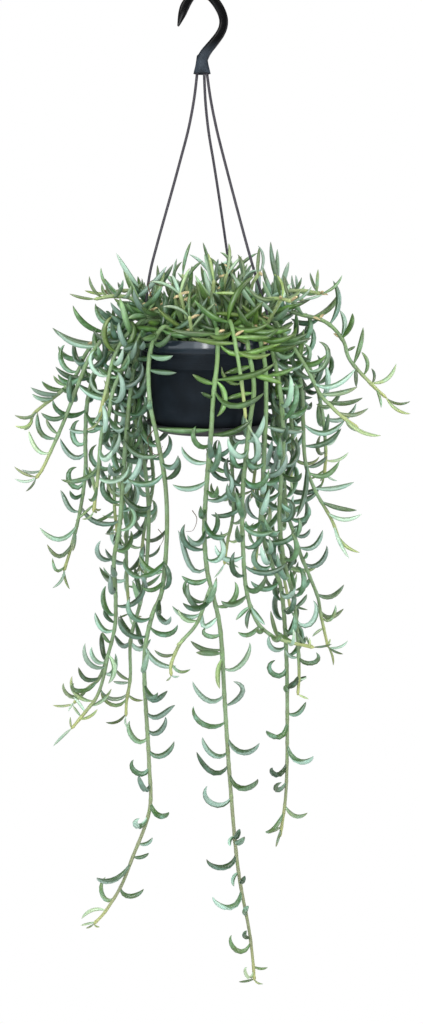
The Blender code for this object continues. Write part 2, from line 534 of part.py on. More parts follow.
def tube(name, points, radii, sides_setting, collection, material):
    """A round bar along the points, with a radius at each."""
    curve = bpy.data.curves.new(name, "CURVE")
    curve.dimensions = "3D"
    curve.twist_mode = "MINIMUM"
    curve.bevel_depth = MM
    curve.bevel_resolution = sides_setting
    curve.use_fill_caps = True
    spline = curve.splines.new("POLY")
    spline.points.add(len(points) - 1)
    for place, co, radius in zip(spline.points, points, radii):
        place.co = (co[0] * MM, co[1] * MM, co[2] * MM, 1.0)
        place.radius = radius
    return add_object(name, curve, collection, material)


def smooth_line(points, step):
    """Points about `step` apart on a smooth curve through the given ones."""
    given = np.array([points[0]] + list(points) + [points[-1]], float)
    given[0] += given[0] - given[2]
    given[-1] += given[-1] - given[-3]
    parts = []
    for k in range(1, len(given) - 2):
        a, b, c, d = given[k - 1 : k + 3]
        steps = max(2, int(math.ceil(np.linalg.norm(c - b) / step)) * 4)
        t = (np.arange(steps) / steps)[:, None]
        parts.append(b + 0.5 * t * (c - a + t * (2 * a - 5 * b + 4 * c - d + t * (3 * (b - c) + d - a))))
    dense = np.vstack(parts + [given[-2:-1]])
    along = np.concatenate([[0.0], np.cumsum(np.linalg.norm(np.diff(dense, axis=0), axis=1))])
    wanted = np.linspace(0.0, along[-1], max(2, int(round(along[-1] / step)) + 1))
    return np.stack([np.interp(wanted, along, dense[:, axis]) for axis in range(3)], axis=1)


def hook_flatness(height):
    """How thick the hook is against its width: flat above, and round where it meets the bell."""
    share = (height - HOOK_ROUND_BELOW) / (HOOK_FLAT_ABOVE - HOOK_ROUND_BELOW)
    return HOOK_ROUNDNESS + (HOOK_FLATNESS - HOOK_ROUNDNESS) * min(1.0, max(0.0, share))


def make_hook(parts):
    """The flat hook with its blunt tip, and the bell at its foot that the strands come out of."""
    line = smooth_line(HOOK_LINE, HOOK_STEP)
    black = finish_of("hook plastic", HOOK_BLACK, 0.18)
    bar = as_mesh(tube("hook_bar", line * (1.0, 0.0, 1.0), line[:, 1], 2, parts, black))
    for vertex in bar.data.vertices:
        vertex.co.y *= hook_flatness(vertex.co.z / MM)
    profile = [(0.0, BELL_OUTSIDE[0][1] + 0.3)] + list(BELL_OUTSIDE) + [(9.3, BELL_FOOT), (7.7, BELL_FOOT)]
    profile += [(6.9, BELL_FOOT + 2.5), (6.3, BELL_CEILING), (0.0, BELL_CEILING)]
    bell = turned("hanger_hook", profile, parts, black, BELL_STEPS, closed=False)
    apply_modifiers(bell)
    for vertex in bell.data.vertices:
        vertex.co.x += BELL_X * MM
    bars = bpy.data.collections.new("hook bars")
    bpy.context.scene.collection.children.link(bars)
    parts.objects.unlink(bar)
    bars.objects.link(bar)
    combine(bell, "UNION", bars)
    return bell


def strand_lines():
    """Each strand's name and its smooth line, from the bell down through the hole in the lip."""
    lines = {}
    for name, (azimuth, passes) in STRANDS.items():
        top = polar(azimuth, STRAND_TOP_CIRCLE)
        foot = polar(azimuth, STRAND_CIRCLE)
        start = [
            (BELL_X + top[0] * spread, top[1] * spread, height)
            for spread, height in ((1.0, BELL_CEILING - CLEAR), (STRAND_BELL_SPREAD, BELL_FOOT - 3.0))
        ]
        slanted = smooth_line(start + list(passes) + [(foot[0], foot[1], 9.0)], STRAND_STEP)
        lines[name] = np.vstack([slanted, (foot[0], foot[1], -WALL - CLEAR - STRAND_RADIUS)])
    return lines


def make_strands(parts):
    """The strands, each with the cross bar that holds it under the rim's lip."""
    grey = finish_of("strand plastic", STRAND_GREY, 0.45)
    strands = []
    for name, line in strand_lines().items():
        azimuth = STRANDS[name][0]
        strand = tube(name, line, [STRAND_RADIUS] * len(line), 1, parts, grey)
        side = Vector(polar(azimuth + 90.0, CROSS_BAR / 2) + (0.0,))
        middle = Vector(line[-1]) - Vector((0.0, 0.0, 0.1))
        bars = bpy.data.collections.new("cross bar")
        bpy.context.scene.collection.children.link(bars)
        bar = tube("bar", [middle - side, middle + side], [STRAND_RADIUS * 1.05] * 2, 1, bars, grey)
        as_mesh(bar)
        strand = as_mesh(strand)
        combine(strand, "UNION", bars)
        strand.data.materials.clear()
        strand.data.materials.append(grey)
        strands.append(strand)
    return strands


def rise(root, crest, first):
    """Where a stem crosses the rim between its root and the first point of its route."""
    reach = math.hypot(first[0], first[1])
    over = 0.5 * (root[1] + min(reach, CREST_REACH))
    heading = math.degrees(math.atan2(first[1], first[0]))
    turn = (heading - root[0] + 180.0) % 360.0 - 180.0
    top = polar(root[0] + 0.6 * turn, max(over, root[1] + 6.0))
    return (top[0], top[1], crest)


def back_stem(k, azimuth, drop, reach):
    """A stem at the back: over the rim and down, swaying a little."""
    draw = random.Random(500 + k)
    route = []
    steps = max(2, int(round(drop / BACK_STEP)))
    for n in range(steps + 1):
        share = n / steps
        sway = BACK_SWAY * math.sin(1.7 * n + k) * min(1.0, share * 3.0)
        distance = BACK_START + (reach - BACK_START) * share**0.8
        x, y = polar(azimuth + math.degrees(sway / distance), distance)
        route.append((x, y, -14.0 - (drop - 14.0) * share))
    root = (azimuth + draw.uniform(-4.0, 4.0), 40.0 + 14.0 * (k % 2))
    return Stem(f"stem_back_{k + 1}", root, 12 + 5 * (k % 3), tuple(route), ())


def shoot(k, azimuth, distance, height):
    """An upright shoot of the mound, leaning outwards."""
    draw = random.Random(900 + k)
    lean = SHOOT_LEAN * (0.4 + distance / 60.0) * height
    side = draw.uniform(-8.0, 8.0)
    route = []
    for share, out in ((0.45, 0.3), (1.0, 1.0)):
        x, y = polar(azimuth, distance + lean * out)
        sx, sy = polar(azimuth + 90.0, side * share)
        route.append((x + sx, y + sy, SOIL_TOP + (height - SOIL_TOP) * share))
    return Stem(f"shoot_{k + 1:02d}", (azimuth, distance), None, tuple(route), ())


def spreading_shoot(k, azimuth, distance, reach, height):
    """A shoot that leans out over the rim and keeps its tip up."""
    route = []
    for share in (0.4, 0.7, 1.0):
        x, y = polar(azimuth + 4.0 * math.sin(2.0 * k + share), distance + (reach - distance) * share)
        route.append((x, y, height * math.sin(math.pi * (0.12 + 0.5 * share))))
    return Stem(f"shoot_{len(SHOOTS) + k + 1:02d}", (azimuth, distance), None, tuple(route), ())


def all_stems():
    """Every leafy stem of the plant."""
    stems = list(HANGING)
    stems += [back_stem(k, *facts) for k, facts in enumerate(BACK_STEMS)]
    stems += [shoot(k, *facts) for k, facts in enumerate(SHOOTS)]
    stems += [spreading_shoot(k, *facts) for k, facts in enumerate(SPREADING)]
    return stems


def near_wall(points):
    """How far each point is from the outer skin of the pot and saucer, and the way off it."""
    pot, saucer = np.array(pot_outline()), np.array(saucer_outline())
    starts = np.vstack([pot[:-1], saucer[:-1]])
    ends = np.vstack([pot[1:], saucer[1:]])
    radial = np.hypot(points[:, 0], points[:, 1])
    flat = np.stack([radial, points[:, 2]], axis=1)
    run = ends - starts
    share = ((flat[:, None] - starts) * run).sum(axis=2) / (run * run).sum(axis=1)
    off = flat[:, None] - (starts + np.clip(share, 0.0, 1.0)[..., None] * run)
    distance = np.linalg.norm(off, axis=2)
    nearest = distance.argmin(axis=1)
    rows = np.arange(len(points))
    distance = distance[rows, nearest]
    away = off[rows, nearest] / np.maximum(distance, 1e-6)[:, None]
    outward = points[:, :2] / np.maximum(radial, 1e-6)[:, None]
    return distance, np.column_stack([outward * away[:, :1], away[:, 1]])


def hanger_points():
    """Points along the strands, which stems and leaves keep off."""
    return np.vstack([smooth_line(line, 2.5) for line in strand_lines().values()])


def settle(lines, owners):
    """Moves stems apart where they come too close to each other, the strands, the pot or the soil."""
    strands = hanger_points()
    sizes = [len(line) for line in lines]
    owner = np.repeat(owners, sizes)
    points = np.vstack(lines)
    along = np.concatenate([np.arange(size) * STEM_STEP for size in sizes])
    loose = np.clip((along - 10.0) / 12.0, 0.0, 1.0)
    for _ in range(SETTLE_ROUNDS):
        push = np.zeros_like(points)
        tree = KDTree(len(points) + len(strands))
        for k, point in enumerate(points):
            tree.insert(point, k)
        for k, point in enumerate(strands):
            tree.insert(point, len(points) + k)
        tree.balance()
        for k, point in enumerate(points):
            for near, other, distance in tree.find_range(point, STEM_APART):
                stranger = other >= len(points) or owner[other] != owner[k]
                if stranger and distance > 1e-6:
                    push[k] += (point - np.array(near)) / distance * (STEM_APART - distance) * 0.5
        distance, away = near_wall(points)
        push += away * np.maximum(0.0, STEM_APART * 0.6 - distance)[:, None]
        inside = (np.hypot(points[:, 0], points[:, 1]) < LIP_RADIUS) & (along > 30.0)
        low = np.maximum(0.0, SOIL_TOP + SOIL_LUMP + 4.0 - points[:, 2]) * inside
        push[:, 2] += low * 0.5
        start = 0
        for size in sizes:
            piece = push[start : start + size]
            for _ in range(3):
                padded = np.vstack([piece[:1], piece, piece[-1:]])
                piece = (padded[:-2] + 2 * padded[1:-1] + padded[2:]) / 4
            push[start : start + size] = piece
            start += size
        points = points + push * loose[:, None]
    return np.split(points, np.cumsum(sizes)[:-1])


def thinned(line, tolerance, fixed):
    """The fewest of a line's points, with the fixed one, that keep it within the tolerance."""
    keep = {0, fixed, len(line) - 1}
    spans = [(0, fixed), (fixed, len(line) - 1)]
    while spans:
        a, b = spans.pop()
        if b - a < 2:
            continue
        run = line[b] - line[a]
        share = np.clip(((line[a + 1 : b] - line[a]) @ run) / max(run @ run, 1e-9), 0.0, 1.0)
        off = np.linalg.norm(line[a + 1 : b] - line[a] - share[:, None] * run, axis=1)
        if off.max() > tolerance:
            middle = a + 1 + int(off.argmax())
            keep.add(middle)
            spans += [(a, middle), (middle, b)]
    return line[sorted(keep)]


def evened(line, step=STEM_STEP):
    """A line of straight runs, with a point about every step."""
    along = np.concatenate([[0.0], np.cumsum(np.linalg.norm(np.diff(line, axis=0), axis=1))])
    wanted = np.linspace(0.0, along[-1], max(2, int(round(along[-1] / step)) + 1))
    return np.stack([np.interp(wanted, along, line[:, axis]) for axis in range(3)], axis=1)


def stem_lines(stems):
    """Each stem's settled lines of few points, the main one first. A side stem starts on the main line."""
    lines, owners = [], []
    for k, stem in enumerate(stems):
        x, y = polar(*stem.root)
        foot = soil_height(x, y) - STEM_HOLE_DEPTH + CLEAR
        hole = [(x, y, foot + STEM_STEP * n) for n in range(ROOT_POINTS)]
        over = [] if stem.crest is None else [rise(stem.root, stem.crest, stem.route[0])]
        lines.append(np.vstack([hole[:-1], smooth_line(hole[-1:] + over + list(stem.route), STEM_STEP)]))
        owners.append(k)
        for fork in stem.forks:
            lines.append(smooth_line(fork, STEM_STEP))
            owners.append(k)
    settled = settle(lines, owners)
    grouped = [[] for _ in stems]
    for owner, line in zip(owners, settled):
        if grouped[owner]:
            main = evened(grouped[owner][0])
            nearest = np.linalg.norm(main - line[0], axis=1).argmin()
            line = line + (main[nearest] - line[0]) * np.linspace(1.0, 0.0, len(line))[:, None]
            grouped[owner].append(thinned(line, STEM_STRAIGHTNESS, 1))
        else:
            grouped[owner].append(thinned(line, STEM_STRAIGHTNESS, ROOT_POINTS - 1))
    return grouped


def line_length(line):
    return float(np.linalg.norm(np.diff(line, axis=0), axis=1).sum())


def stem_radius(share, length):
    """A stem's radius at a share of its length. Short stems are thinner, and all taper late."""
    root = STEM_ROOT * (0.72 + 0.28 * min(1.0, length / LONG_STEM))
    return STEM_TIP + (root - STEM_TIP) * (1.0 - share**2)


def leaf_points(base, heading, start, finish, roll, length):
    """The leaf's middle line: it leaves the stem at one angle and bends up to the other."""
    along = [share for share, _ in LEAF_GIRTHS] + [1.0]
    level = Vector((math.cos(heading), math.sin(heading), 0.0))
    across = Vector((-level.y, level.x, 0.0))
    up = (Vector((0.0, 0.0, 1.0)) * math.cos(roll) + across * math.sin(roll)).normalized()
    place = Vector(base)
    points = [np.array(place)]
    for a, b in zip(along, along[1:]):
        angle = start + (finish - start) * (a + b) / 2
        place = place + (level * math.cos(angle) + up * math.sin(angle)) * (b - a) * length
        points.append(np.array(place))
    return np.array(points)


def leaf_samples(points, radius):
    """Points with radii along the leaf, for judging what it would touch."""
    along = np.array([share for share, _ in LEAF_GIRTHS] + [1.0])
    girth = np.array([value for _, value in LEAF_GIRTHS] + [0.1])
    share = np.linspace(0.0, 1.0, 18)
    middle = np.stack([np.interp(share, along, points[:, axis]) for axis in range(3)], axis=1)
    return middle, np.interp(share, along, girth) * radius


class Crowd:
    """Everything that a new leaf keeps clear of."""

    def __init__(self, stems, lines):
        strands = hanger_points()
        self.points = [strands]
        self.radii = [np.full(len(strands), STRAND_RADIUS)]
        self.owner = [np.full(len(strands), -1)]
        for k in range(len(stems)):
            for line in lines[k]:
                even = evened(line)
                even = np.vstack([even, (even[1:] + even[:-1]) / 2])
                widest = stem_radius(0.3, line_length(line)) * STEM_FULLNESS
                self.add(even, np.full(len(even), widest), k)

    def add(self, points, radii, owner):
        self.points.append(points)
        self.radii.append(radii)
        self.owner.append(np.full(len(points), owner))

    def around(self, base, reach):
        points = np.vstack(self.points)
        near = np.abs(points - base).max(axis=1) < reach
        return points[near], np.concatenate(self.radii)[near], np.concatenate(self.owner)[near]

    def clear(self, base, owner, middle, radii, around):
        points, others, owners = around
        distance, _ = near_wall(middle)
        if (distance < radii + LEAF_CLEAR).any():
            return False
        radial = np.hypot(middle[:, 0], middle[:, 1])
        if ((radial < RIM_RADIUS) & (middle[:, 2] - radii < SOIL_TOP + SOIL_LUMP + LEAF_CLEAR)).any():
            return False
        inside_wall = (radial < RIM_RADIUS - 1.0) & (middle[:, 2] < -1.0) & (radial + radii > LIP_RADIUS)
        if inside_wall.any():
            return False
        low, high = middle.min(axis=0) - LEAF_REACH, middle.max(axis=0) + LEAF_REACH
        near = ((points > low) & (points < high)).all(axis=1)
        points, others, owners = points[near], others[near], owners[near]
        gaps = np.linalg.norm(middle[:, None] - points, axis=2) - radii[:, None] - others
        from_base = np.linalg.norm(middle - base, axis=1)
        at_root = (from_base < 6.0)[:, None] & (owners == owner)
        gaps[at_root] = 9.0
        return bool((gaps > LEAF_CLEAR).all())


def leaf_habit(base, course, youth, draw):
    """How a leaf lies where it grows: its heading, if any, its start and finish angles and its size."""
    out = math.hypot(base[0], base[1])
    rising, sinking = max(0.0, course[2]), max(0.0, -course[2])
    start = math.radians(draw.uniform(-20.0, 12.0) - 32.0 * sinking**2)
    finish = math.radians(draw.uniform(34.0, 66.0) + 26.0 * sinking - 30.0 * youth**2)
    size = 1.02
    heading = None
    if rising > 0.5:
        start = math.radians(draw.uniform(5.0, 62.0))
        finish = start + math.radians(draw.uniform(-5.0, 38.0))
        size = 1.2
    elif LIP_RADIUS - 12.0 < out < RIM_RADIUS + 16.0 and -POT_HEIGHT < base[2] < 24.0:
        heading = math.atan2(base[1], base[0]) + math.pi / 2
        start = math.radians(draw.uniform(-40.0, 0.0))
        finish = math.radians(draw.uniform(5.0, 50.0))
        size = 1.0 if base[2] > -20.0 else 0.82
    return heading, start, finish, size


def leaf_slots(length, upright, first):
    """How far along a stem each leaf grows, counted from its tip. The first ones crown the tip."""
    slots = [length - place for place in TIP_CROWN]
    while slots[-1] > first:
        spacing = CROWDED_SPACING + (OPEN_SPACING - CROWDED_SPACING) * min(1.0, slots[-1] / OPEN_FROM)
        if length - slots[-1] < YOUNG_STRETCH:
            spacing = min(spacing, TIP_SPACING)
        slots.append(slots[-1] - (SHOOT_SPACING if upright else spacing))
    return slots[:-1]


def leaf_radius(length, youth):
    """A leaf's half width from its length. Young ones are slim."""
    return LEAF_RADIUS * (0.4 + 0.6 * min(1.0, length / LEAF_LENGTH)) * (1.0 - 0.25 * youth)


def set_places(stem, n, line):
    """The table's leaves on one line of a stem: how far along it the foot is, where, and the leaf's row."""
    rows = SET_LEAVES.get((stem.name, n), ())
    fine = evened(line, 1.0)
    crest = int(fine[:, 2].argmax())
    feet = [crest + int(np.abs(fine[crest:, 2] - row[0]).argmin()) for row in rows]
    step = line_length(line) / (len(fine) - 1)
    return [(foot * step, fine[foot], row) for foot, row in zip(feet, rows)]


def set_leaves(stems, lines, crowd):
    """The leaves of the table, each swung back or forth until it touches nothing."""
    leaves = []
    at = [share for share, _ in LEAF_GIRTHS] + [1.0]
    for k, stem in enumerate(stems):
        for n, line in enumerate(lines[k]):
            for place, base, (_, back, *bends) in set_places(stem, n, line):
                youth = max(0.0, 1.0 - (line_length(line) - place) / YOUNG_STRETCH)
                around = crowd.around(base, LEAF_NEAR)
                for swing in SET_SWINGS:
                    reach = (back + swing) / len(bends)
                    passed = [(right, reach * (m + 1), up) for m, (right, up) in enumerate(bends)]
                    bent = np.array([(0.0, 0.0, 0.0)] + passed) + base
                    curve = smooth_line(bent, 1.0)
                    share = np.linspace(0.0, 1.0, len(curve))
                    points = np.stack([np.interp(at, share, curve[:, axis]) for axis in range(3)], axis=1)
                    radius = leaf_radius(line_length(curve) * BEND_STRETCH, youth)
                    middle, radii = leaf_samples(points, radius)
                    if crowd.clear(base, k, middle, radii, around):
                        crowd.add(middle, radii, k)
                        leaves.append(Leaf(k, 0, points, radius))
                        break
    return leaves


def free_slots(stem, n, line):
    """The places on a line for leaves that aren't in the table, each with its number from the tip."""
    length = line_length(line)
    taken = sorted(place for place, _, _ in set_places(stem, n, line))
    closed = [(a - SET_ROOM, b + SET_ROOM) for a, b in zip(taken, taken[1:]) if b - a < SET_GAP]
    if taken and length - taken[-1] < SET_GAP:
        closed.append((taken[-1] - SET_ROOM, length))
    first = 7.0 if n else STEM_HOLE_DEPTH + 14.0
    slots = enumerate(leaf_slots(length, stem.crest is None, first))
    return [(slot, place) for slot, place in slots if not any(a <= place <= b for a, b in closed)]


def grow_leaves(stems, lines, crowd, wanted, tries):
    """The leaves in the wanted slots of all stems, each turned and sized until it touches nothing."""
    jobs = []
    for k, stem in enumerate(stems):
        for n, line in enumerate(lines[k]):
            length = line_length(line)
            jobs += [(slot, k, n, place, length) for slot, place in free_slots(stem, n, line) if wanted(slot)]
    jobs.sort()
    even = [[evened(line) for line in group] for group in lines]
    leaves = []
    for slot, k, n, place, length in jobs:
        line = even[k][n]
        draw = random.Random(LEAF_SEED + 7919 * k + 104729 * n + slot)
        step = length / (len(line) - 1)
        at = min(len(line) - 2, int(place / step))
        base = line[at] + (line[at + 1] - line[at]) * (place / step - at)
        course = line[min(at + 3, len(line) - 1)] - line[max(at - 3, 0)]
        course = course / np.linalg.norm(course)
        youth = max(0.0, 1.0 - (length - place) / YOUNG_STRETCH)
        around = crowd.around(base, LEAF_NEAR)
        along_rim, start, finish, size = leaf_habit(base, course, youth, draw)
        turn = math.pi * slot + (along_rim if along_rim else math.radians(11.0) * slot + 0.9 * math.sin(k))
        turn += draw.uniform(-LEAF_WANDER, LEAF_WANDER)
        if slot < len(TIP_CROWN):
            turn = math.atan2(course[1], course[0]) + math.radians(130.0) * slot
            start = math.asin(course[2]) + math.radians(CROWN_RISES[slot])
            finish = start + math.radians(draw.uniform(20.0, 70.0))
            size *= CROWN_SIZES[slot] if stems[k].crest is not None else 1.0
        for attempt in range(tries):
            swing = math.radians(SWING_STEP) * ((attempt + 1) // 2) * (-1) ** attempt
            heading = turn + swing + draw.uniform(-0.3, 0.3) * (slot > 0)
            rise_from = start + draw.uniform(-0.25, 0.25)
            rise_to = finish + draw.uniform(-0.4, 0.4)
            shrink = 1.0 - 0.35 * attempt / tries
            reach = LEAF_LENGTH * size * draw.uniform(0.84, 1.14) * (1.0 - 0.42 * youth) * shrink
            radius = leaf_radius(reach, youth)
            roll = draw.uniform(-0.3, 0.3)
            points = leaf_points(base, heading, rise_from, rise_to, roll, reach)
            middle, radii = leaf_samples(points, radius)
            if crowd.clear(base, k, middle, radii, around):
                crowd.add(middle, radii, k)
                leaves.append(Leaf(k, slot, points, radius))
                break
    return leaves


def loft(name, points, radii, sides, collection, pointed):
    """A closed bar of flat sides along the points. A pointed one ends in its last point."""
    shape = bmesh.new()
    count = len(points)
    courses = [Vector(points[min(k + 1, count - 1)]) - Vector(points[max(k - 1, 0)]) for k in range(count)]
    if pointed:
        courses[0] = courses[1]
    side = Vector((-courses[0].y, courses[0].x, 0.0))
    if side.length < 0.1 * courses[0].length:
        side = Vector((1.0, 0.0, 0.0))
    rings = []
    for k in range(count - 1 if pointed else count):
        course = courses[k].normalized()
        side = (side - course * side.dot(course)).normalized()
        up = course.cross(side)
        ring = []
        for n in range(sides):
            angle = 2 * math.pi * n / sides + math.pi / 2
            offset = (side * math.cos(angle) + up * math.sin(angle)) * float(radii[k])
            ring.append(shape.verts.new((Vector(points[k]) + offset) * MM))
        rings.append(ring)
    for a, b in zip(rings, rings[1:]):
        for n in range(sides):
            m = (n + 1) % sides
            shape.faces.new((a[n], a[m], b[m], b[n]))
    shape.faces.new(rings[0][::-1])
    if pointed:
        tip = shape.verts.new(Vector(points[-1]) * MM)
        for n in range(sides):
            shape.faces.new((rings[-1][n], rings[-1][(n + 1) % sides], tip))
    else:
        shape.faces.new(rings[-1])
    bmesh.ops.recalc_face_normals(shape, faces=shape.faces)
    mesh = bpy.data.meshes.new(name)
    shape.to_mesh(mesh)
    shape.free()
    return add_object(name, mesh, collection)


def drop_scraps(obj):
    """Keeps the largest connected body of a mesh."""
    shape = bmesh.new()
    shape.from_mesh(obj.data)
    unseen = set(shape.verts)
    islands = []
    while unseen:
        island = {unseen.pop()}
        edge = list(island)
        while edge:
            fresh = {link.other_vert(vert) for vert in edge for link in vert.link_edges} & unseen
            unseen -= fresh
            island |= fresh
            edge = list(fresh)
        islands.append(island)
    islands.sort(key=len)
    for island in islands[:-1]:
        bmesh.ops.delete(shape, geom=list(island), context="VERTS")
    shape.to_mesh(obj.data)
    shape.free()


def make_stem(stem, lines, leaves, parts, green):
    """One leafy stem: its bar, side stems and leaves joined in one solid."""
    pieces = bpy.data.collections.new("leaves")
    bpy.context.scene.collection.children.link(pieces)
    body = None
    for n, few in enumerate(lines):
        along = np.concatenate([[0.0], np.cumsum(np.linalg.norm(np.diff(few, axis=0), axis=1))])
        radii = stem_radius(along / along[-1], along[-1]) * STEM_FULLNESS
        bar = loft(stem.name, few, radii, STEM_SIDES, pieces if n else parts, False)
        body = body or bar
    for n, leaf in enumerate(leaves):
        radii = [leaf.radius * girth for _, girth in LEAF_GIRTHS]
        loft(f"leaf_{n}", leaf.points, radii, LEAF_SIDES, pieces, True)
    combine(body, "UNION", pieces)
    drop_scraps(body)
    body.data.materials.clear()
    body.data.materials.append(green)
    return body


def main():
    for obj in list(bpy.data.objects):
        bpy.data.objects.remove(obj)
    parts = bpy.data.collections.new("potted string of bananas")
    cutters = bpy.data.collections.new("cutters")
    bpy.context.scene.collection.children.link(parts)
    bpy.context.scene.collection.children.link(cutters)

    stems = all_stems()
    lines = stem_lines(stems)
    crowd = Crowd(stems, lines)
    leaves = set_leaves(stems, lines, crowd)
    leaves += grow_leaves(stems, lines, crowd, lambda slot: slot % SOLID_SHARE == 0, LEAF_TRIES)

    make_pot(parts, cutters)
    make_saucer(parts)
    make_soil(parts, [polar(*stem.root) for stem in stems])
    make_hook(parts)
    make_strands(parts)
    green = finish_of("leaf green", LEAF_GREEN, 0.5)
    for k, stem in enumerate(stems):
        make_stem(stem, lines[k], [leaf for leaf in leaves if leaf.stem == k], parts, green)

    rim = bpy.data.objects.new("rim middle", None)
    parts.objects.link(rim)
    rim.location = (SEAT_LEFT_OF_AXIS * MM, 0.0, -SEAT_ABOVE_RIM * MM)
    for obj in list(parts.objects) + list(cutters.objects):
        if obj is not rim:
            obj.parent = rim


main()
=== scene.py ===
import math
import random
from collections import namedtuple

import bmesh
import bpy
import numpy as np
from bpy.props import FloatProperty, FloatVectorProperty, IntProperty, PointerProperty
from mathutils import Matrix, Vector, noise
from mathutils.kdtree import KDTree


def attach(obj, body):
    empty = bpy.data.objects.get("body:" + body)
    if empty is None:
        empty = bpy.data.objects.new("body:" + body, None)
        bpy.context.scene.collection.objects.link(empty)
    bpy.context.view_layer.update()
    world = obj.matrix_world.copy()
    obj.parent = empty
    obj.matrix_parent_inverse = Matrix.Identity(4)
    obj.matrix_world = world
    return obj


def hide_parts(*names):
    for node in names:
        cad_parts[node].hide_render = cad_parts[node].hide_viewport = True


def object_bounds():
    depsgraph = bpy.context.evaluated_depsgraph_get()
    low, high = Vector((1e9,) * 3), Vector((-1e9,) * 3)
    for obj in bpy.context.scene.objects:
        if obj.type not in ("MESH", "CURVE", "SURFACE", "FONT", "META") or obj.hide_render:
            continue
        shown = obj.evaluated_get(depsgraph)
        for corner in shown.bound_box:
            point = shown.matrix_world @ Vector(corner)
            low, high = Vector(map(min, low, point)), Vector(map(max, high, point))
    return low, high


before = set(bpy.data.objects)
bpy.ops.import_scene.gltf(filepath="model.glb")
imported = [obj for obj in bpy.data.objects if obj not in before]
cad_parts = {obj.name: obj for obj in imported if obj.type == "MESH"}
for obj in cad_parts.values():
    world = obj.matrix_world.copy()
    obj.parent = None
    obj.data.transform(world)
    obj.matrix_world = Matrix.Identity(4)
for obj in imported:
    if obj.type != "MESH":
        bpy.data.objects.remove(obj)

bl_info = {
    "name": "Potted string of bananas",
    "version": (1, 0, 0),
    "blender": (4, 5, 0),
    "location": "View3D > Sidebar > Hanging plant",
    "description": "Builds a string of bananas in its hanging pot, with the studio stage round it",
    "category": "Add Mesh",
}

CAD_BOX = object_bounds()

MM = 0.001
# The constants are in millimetres and start at the middle of the rim's top. The world starts at the
# hook's seat.
SEAT_ABOVE_RIM = 356.0
SEAT_LEFT_OF_AXIS = 10.0
CLEAR = 0.3

# Profiles as (radius, height). Each runs down its outer side.
RIM_RADIUS = 75.5
LIP_RADIUS = 67.5
WALL = 1.8
POT_HEIGHT = 102.0
RIM_BAND = 14.0
RIM_ROUNDING = 1.2
COLLAR_RADIUS = 75.1
COLLAR_INSIDE = 73.2
COLLAR_FOOT = 31.0
POT_WALL = ((73.0, -33.0), (71.2, -39.0), (70.1, -45.0), (68.9, -60.0))
POT_CORNER = (44.0, -84.0)
POT_CORNER_REACH = (22.6, 18.0)
POT_CORNER_TURNS = (0, 20, 42, 66, 90)
POT_INSIDE = ((56.5, -97.0), (62.0, -91.0), (64.6, -84.0), (67.1, -60.0), (69.0, -40.0))
POT_FLOOR_RADIUS = 44.0
BUTTON_HOLE = 5.0
DRAIN_HOLE = 4.0
DRAIN_CIRCLE = 30.0
DRAIN_HOLES = 5
DRAIN_TURN = 18.0
HOLE_REACH = 5.0
HOLE_SIDES = 24
POT_CREASE = 32.0
RIDGE_PITCH = 2.4

SAUCER_RADIUS = 72.0
SAUCER_TOP = -93.4
SAUCER_FOOT = 56.0
SAUCER_FLOOR = 2.0
BUTTON_HEAD = 6.0
BUTTON_RISE = 1.6
SAUCER_CREASE = 30.0

SOIL_TOP = -12.0
SOIL_LUMP = 1.2
SOIL_GAP = 0.6
STEM_HOLE = 3.6
STEM_HOLE_DEPTH = 8.0
SOIL_STEPS = 168
SOIL_RINGS = 48
SOIL_CREASE = 60.0

STRAND_RADIUS = 1.3
STRAND_HOLE = 1.7
STRAND_CIRCLE = 70.8
STRAND_STEP = 32.0
CROSS_BAR = 9.0
BELL_X = -7.3
BELL_FOOT = 279.0
BELL_CEILING = 285.0
BELL_OUTSIDE = ((4.4, 298.0), (5.6, 296.5), (6.3, 292.0), (7.1, 287.5), (8.4, 282.5))
STRAND_TOP_CIRCLE = 4.6
STRAND_BELL_SPREAD = 1.2
# Each strand: its azimuth on the rim, and where it passes between the bell and the rim.
STRANDS = {
    "strand_left": (187.0, (
        (-19.8, -2.0, 231.8), (-36.9, -5.0, 169.6), (-61.7, -7.0, 84.9), (-69.0, -8.2, 48.0))),
    "strand_right": (347.0, (
        (6.1, -3.0, 231.7), (22.4, -7.0, 169.4), (46.2, -12.0, 84.8), (60.0, -14.6, 42.0))),
    "strand_back": (63.0, ((-2.1, 14.0, 234.1), (8.4, 28.0, 172.6), (21.5, 46.0, 89.4))),
}

# The hook's middle line, as (x, half width, height). It is flat above, and round at the bell.
HOOK_LINE = (
    (-7.2, 5.6, 286.5), (-7.2, 6.1, 291.5), (-5.6, 6.0, 296.5), (-0.9, 5.3, 303.2), (7.6, 5.0, 312.9),
    (14.1, 4.9, 322.5), (15.7, 4.9, 332.4), (12.4, 4.9, 342.2), (5.5, 4.8, 352.0), (-2.5, 4.75, 358.6),
    (-10.0, 4.75, 360.75), (-16.5, 4.75, 357.8), (-21.3, 4.7, 352.0), (-26.0, 5.1, 344.2),
    (-28.6, 4.2, 337.3), (-30.4, 2.9, 332.4), (-32.3, 1.3, 327.0),
)
HOOK_FLATNESS = 0.6
HOOK_ROUNDNESS = 0.97
HOOK_ROUND_BELOW = 297.0
HOOK_FLAT_ABOVE = 318.0
HOOK_STEP = 6.5
HOOK_FIT = 0.96
HOOK_SIDES = 28
HOOK_SQUARENESS = 2.7
HOOK_TIP = ((0.35, 0.93), (0.65, 0.78), (0.9, 0.55), (1.0, 0.25))
BELL_LIP = 9.3
BELL_TOP = ((0.0, 298.3), (2.0, 298.2))
BELL_INSIDE = ((7.9, 279.0), (7.7, 279.3), (6.9, 281.5), (6.3, 285.0), (0.0, 285.0))
BELL_STEPS = 56
BELL_EAR = 1.7
BELL_EAR_HEIGHT = 6.0
HANGER_CREASE = 50.0
STRAND_SIDES = 14
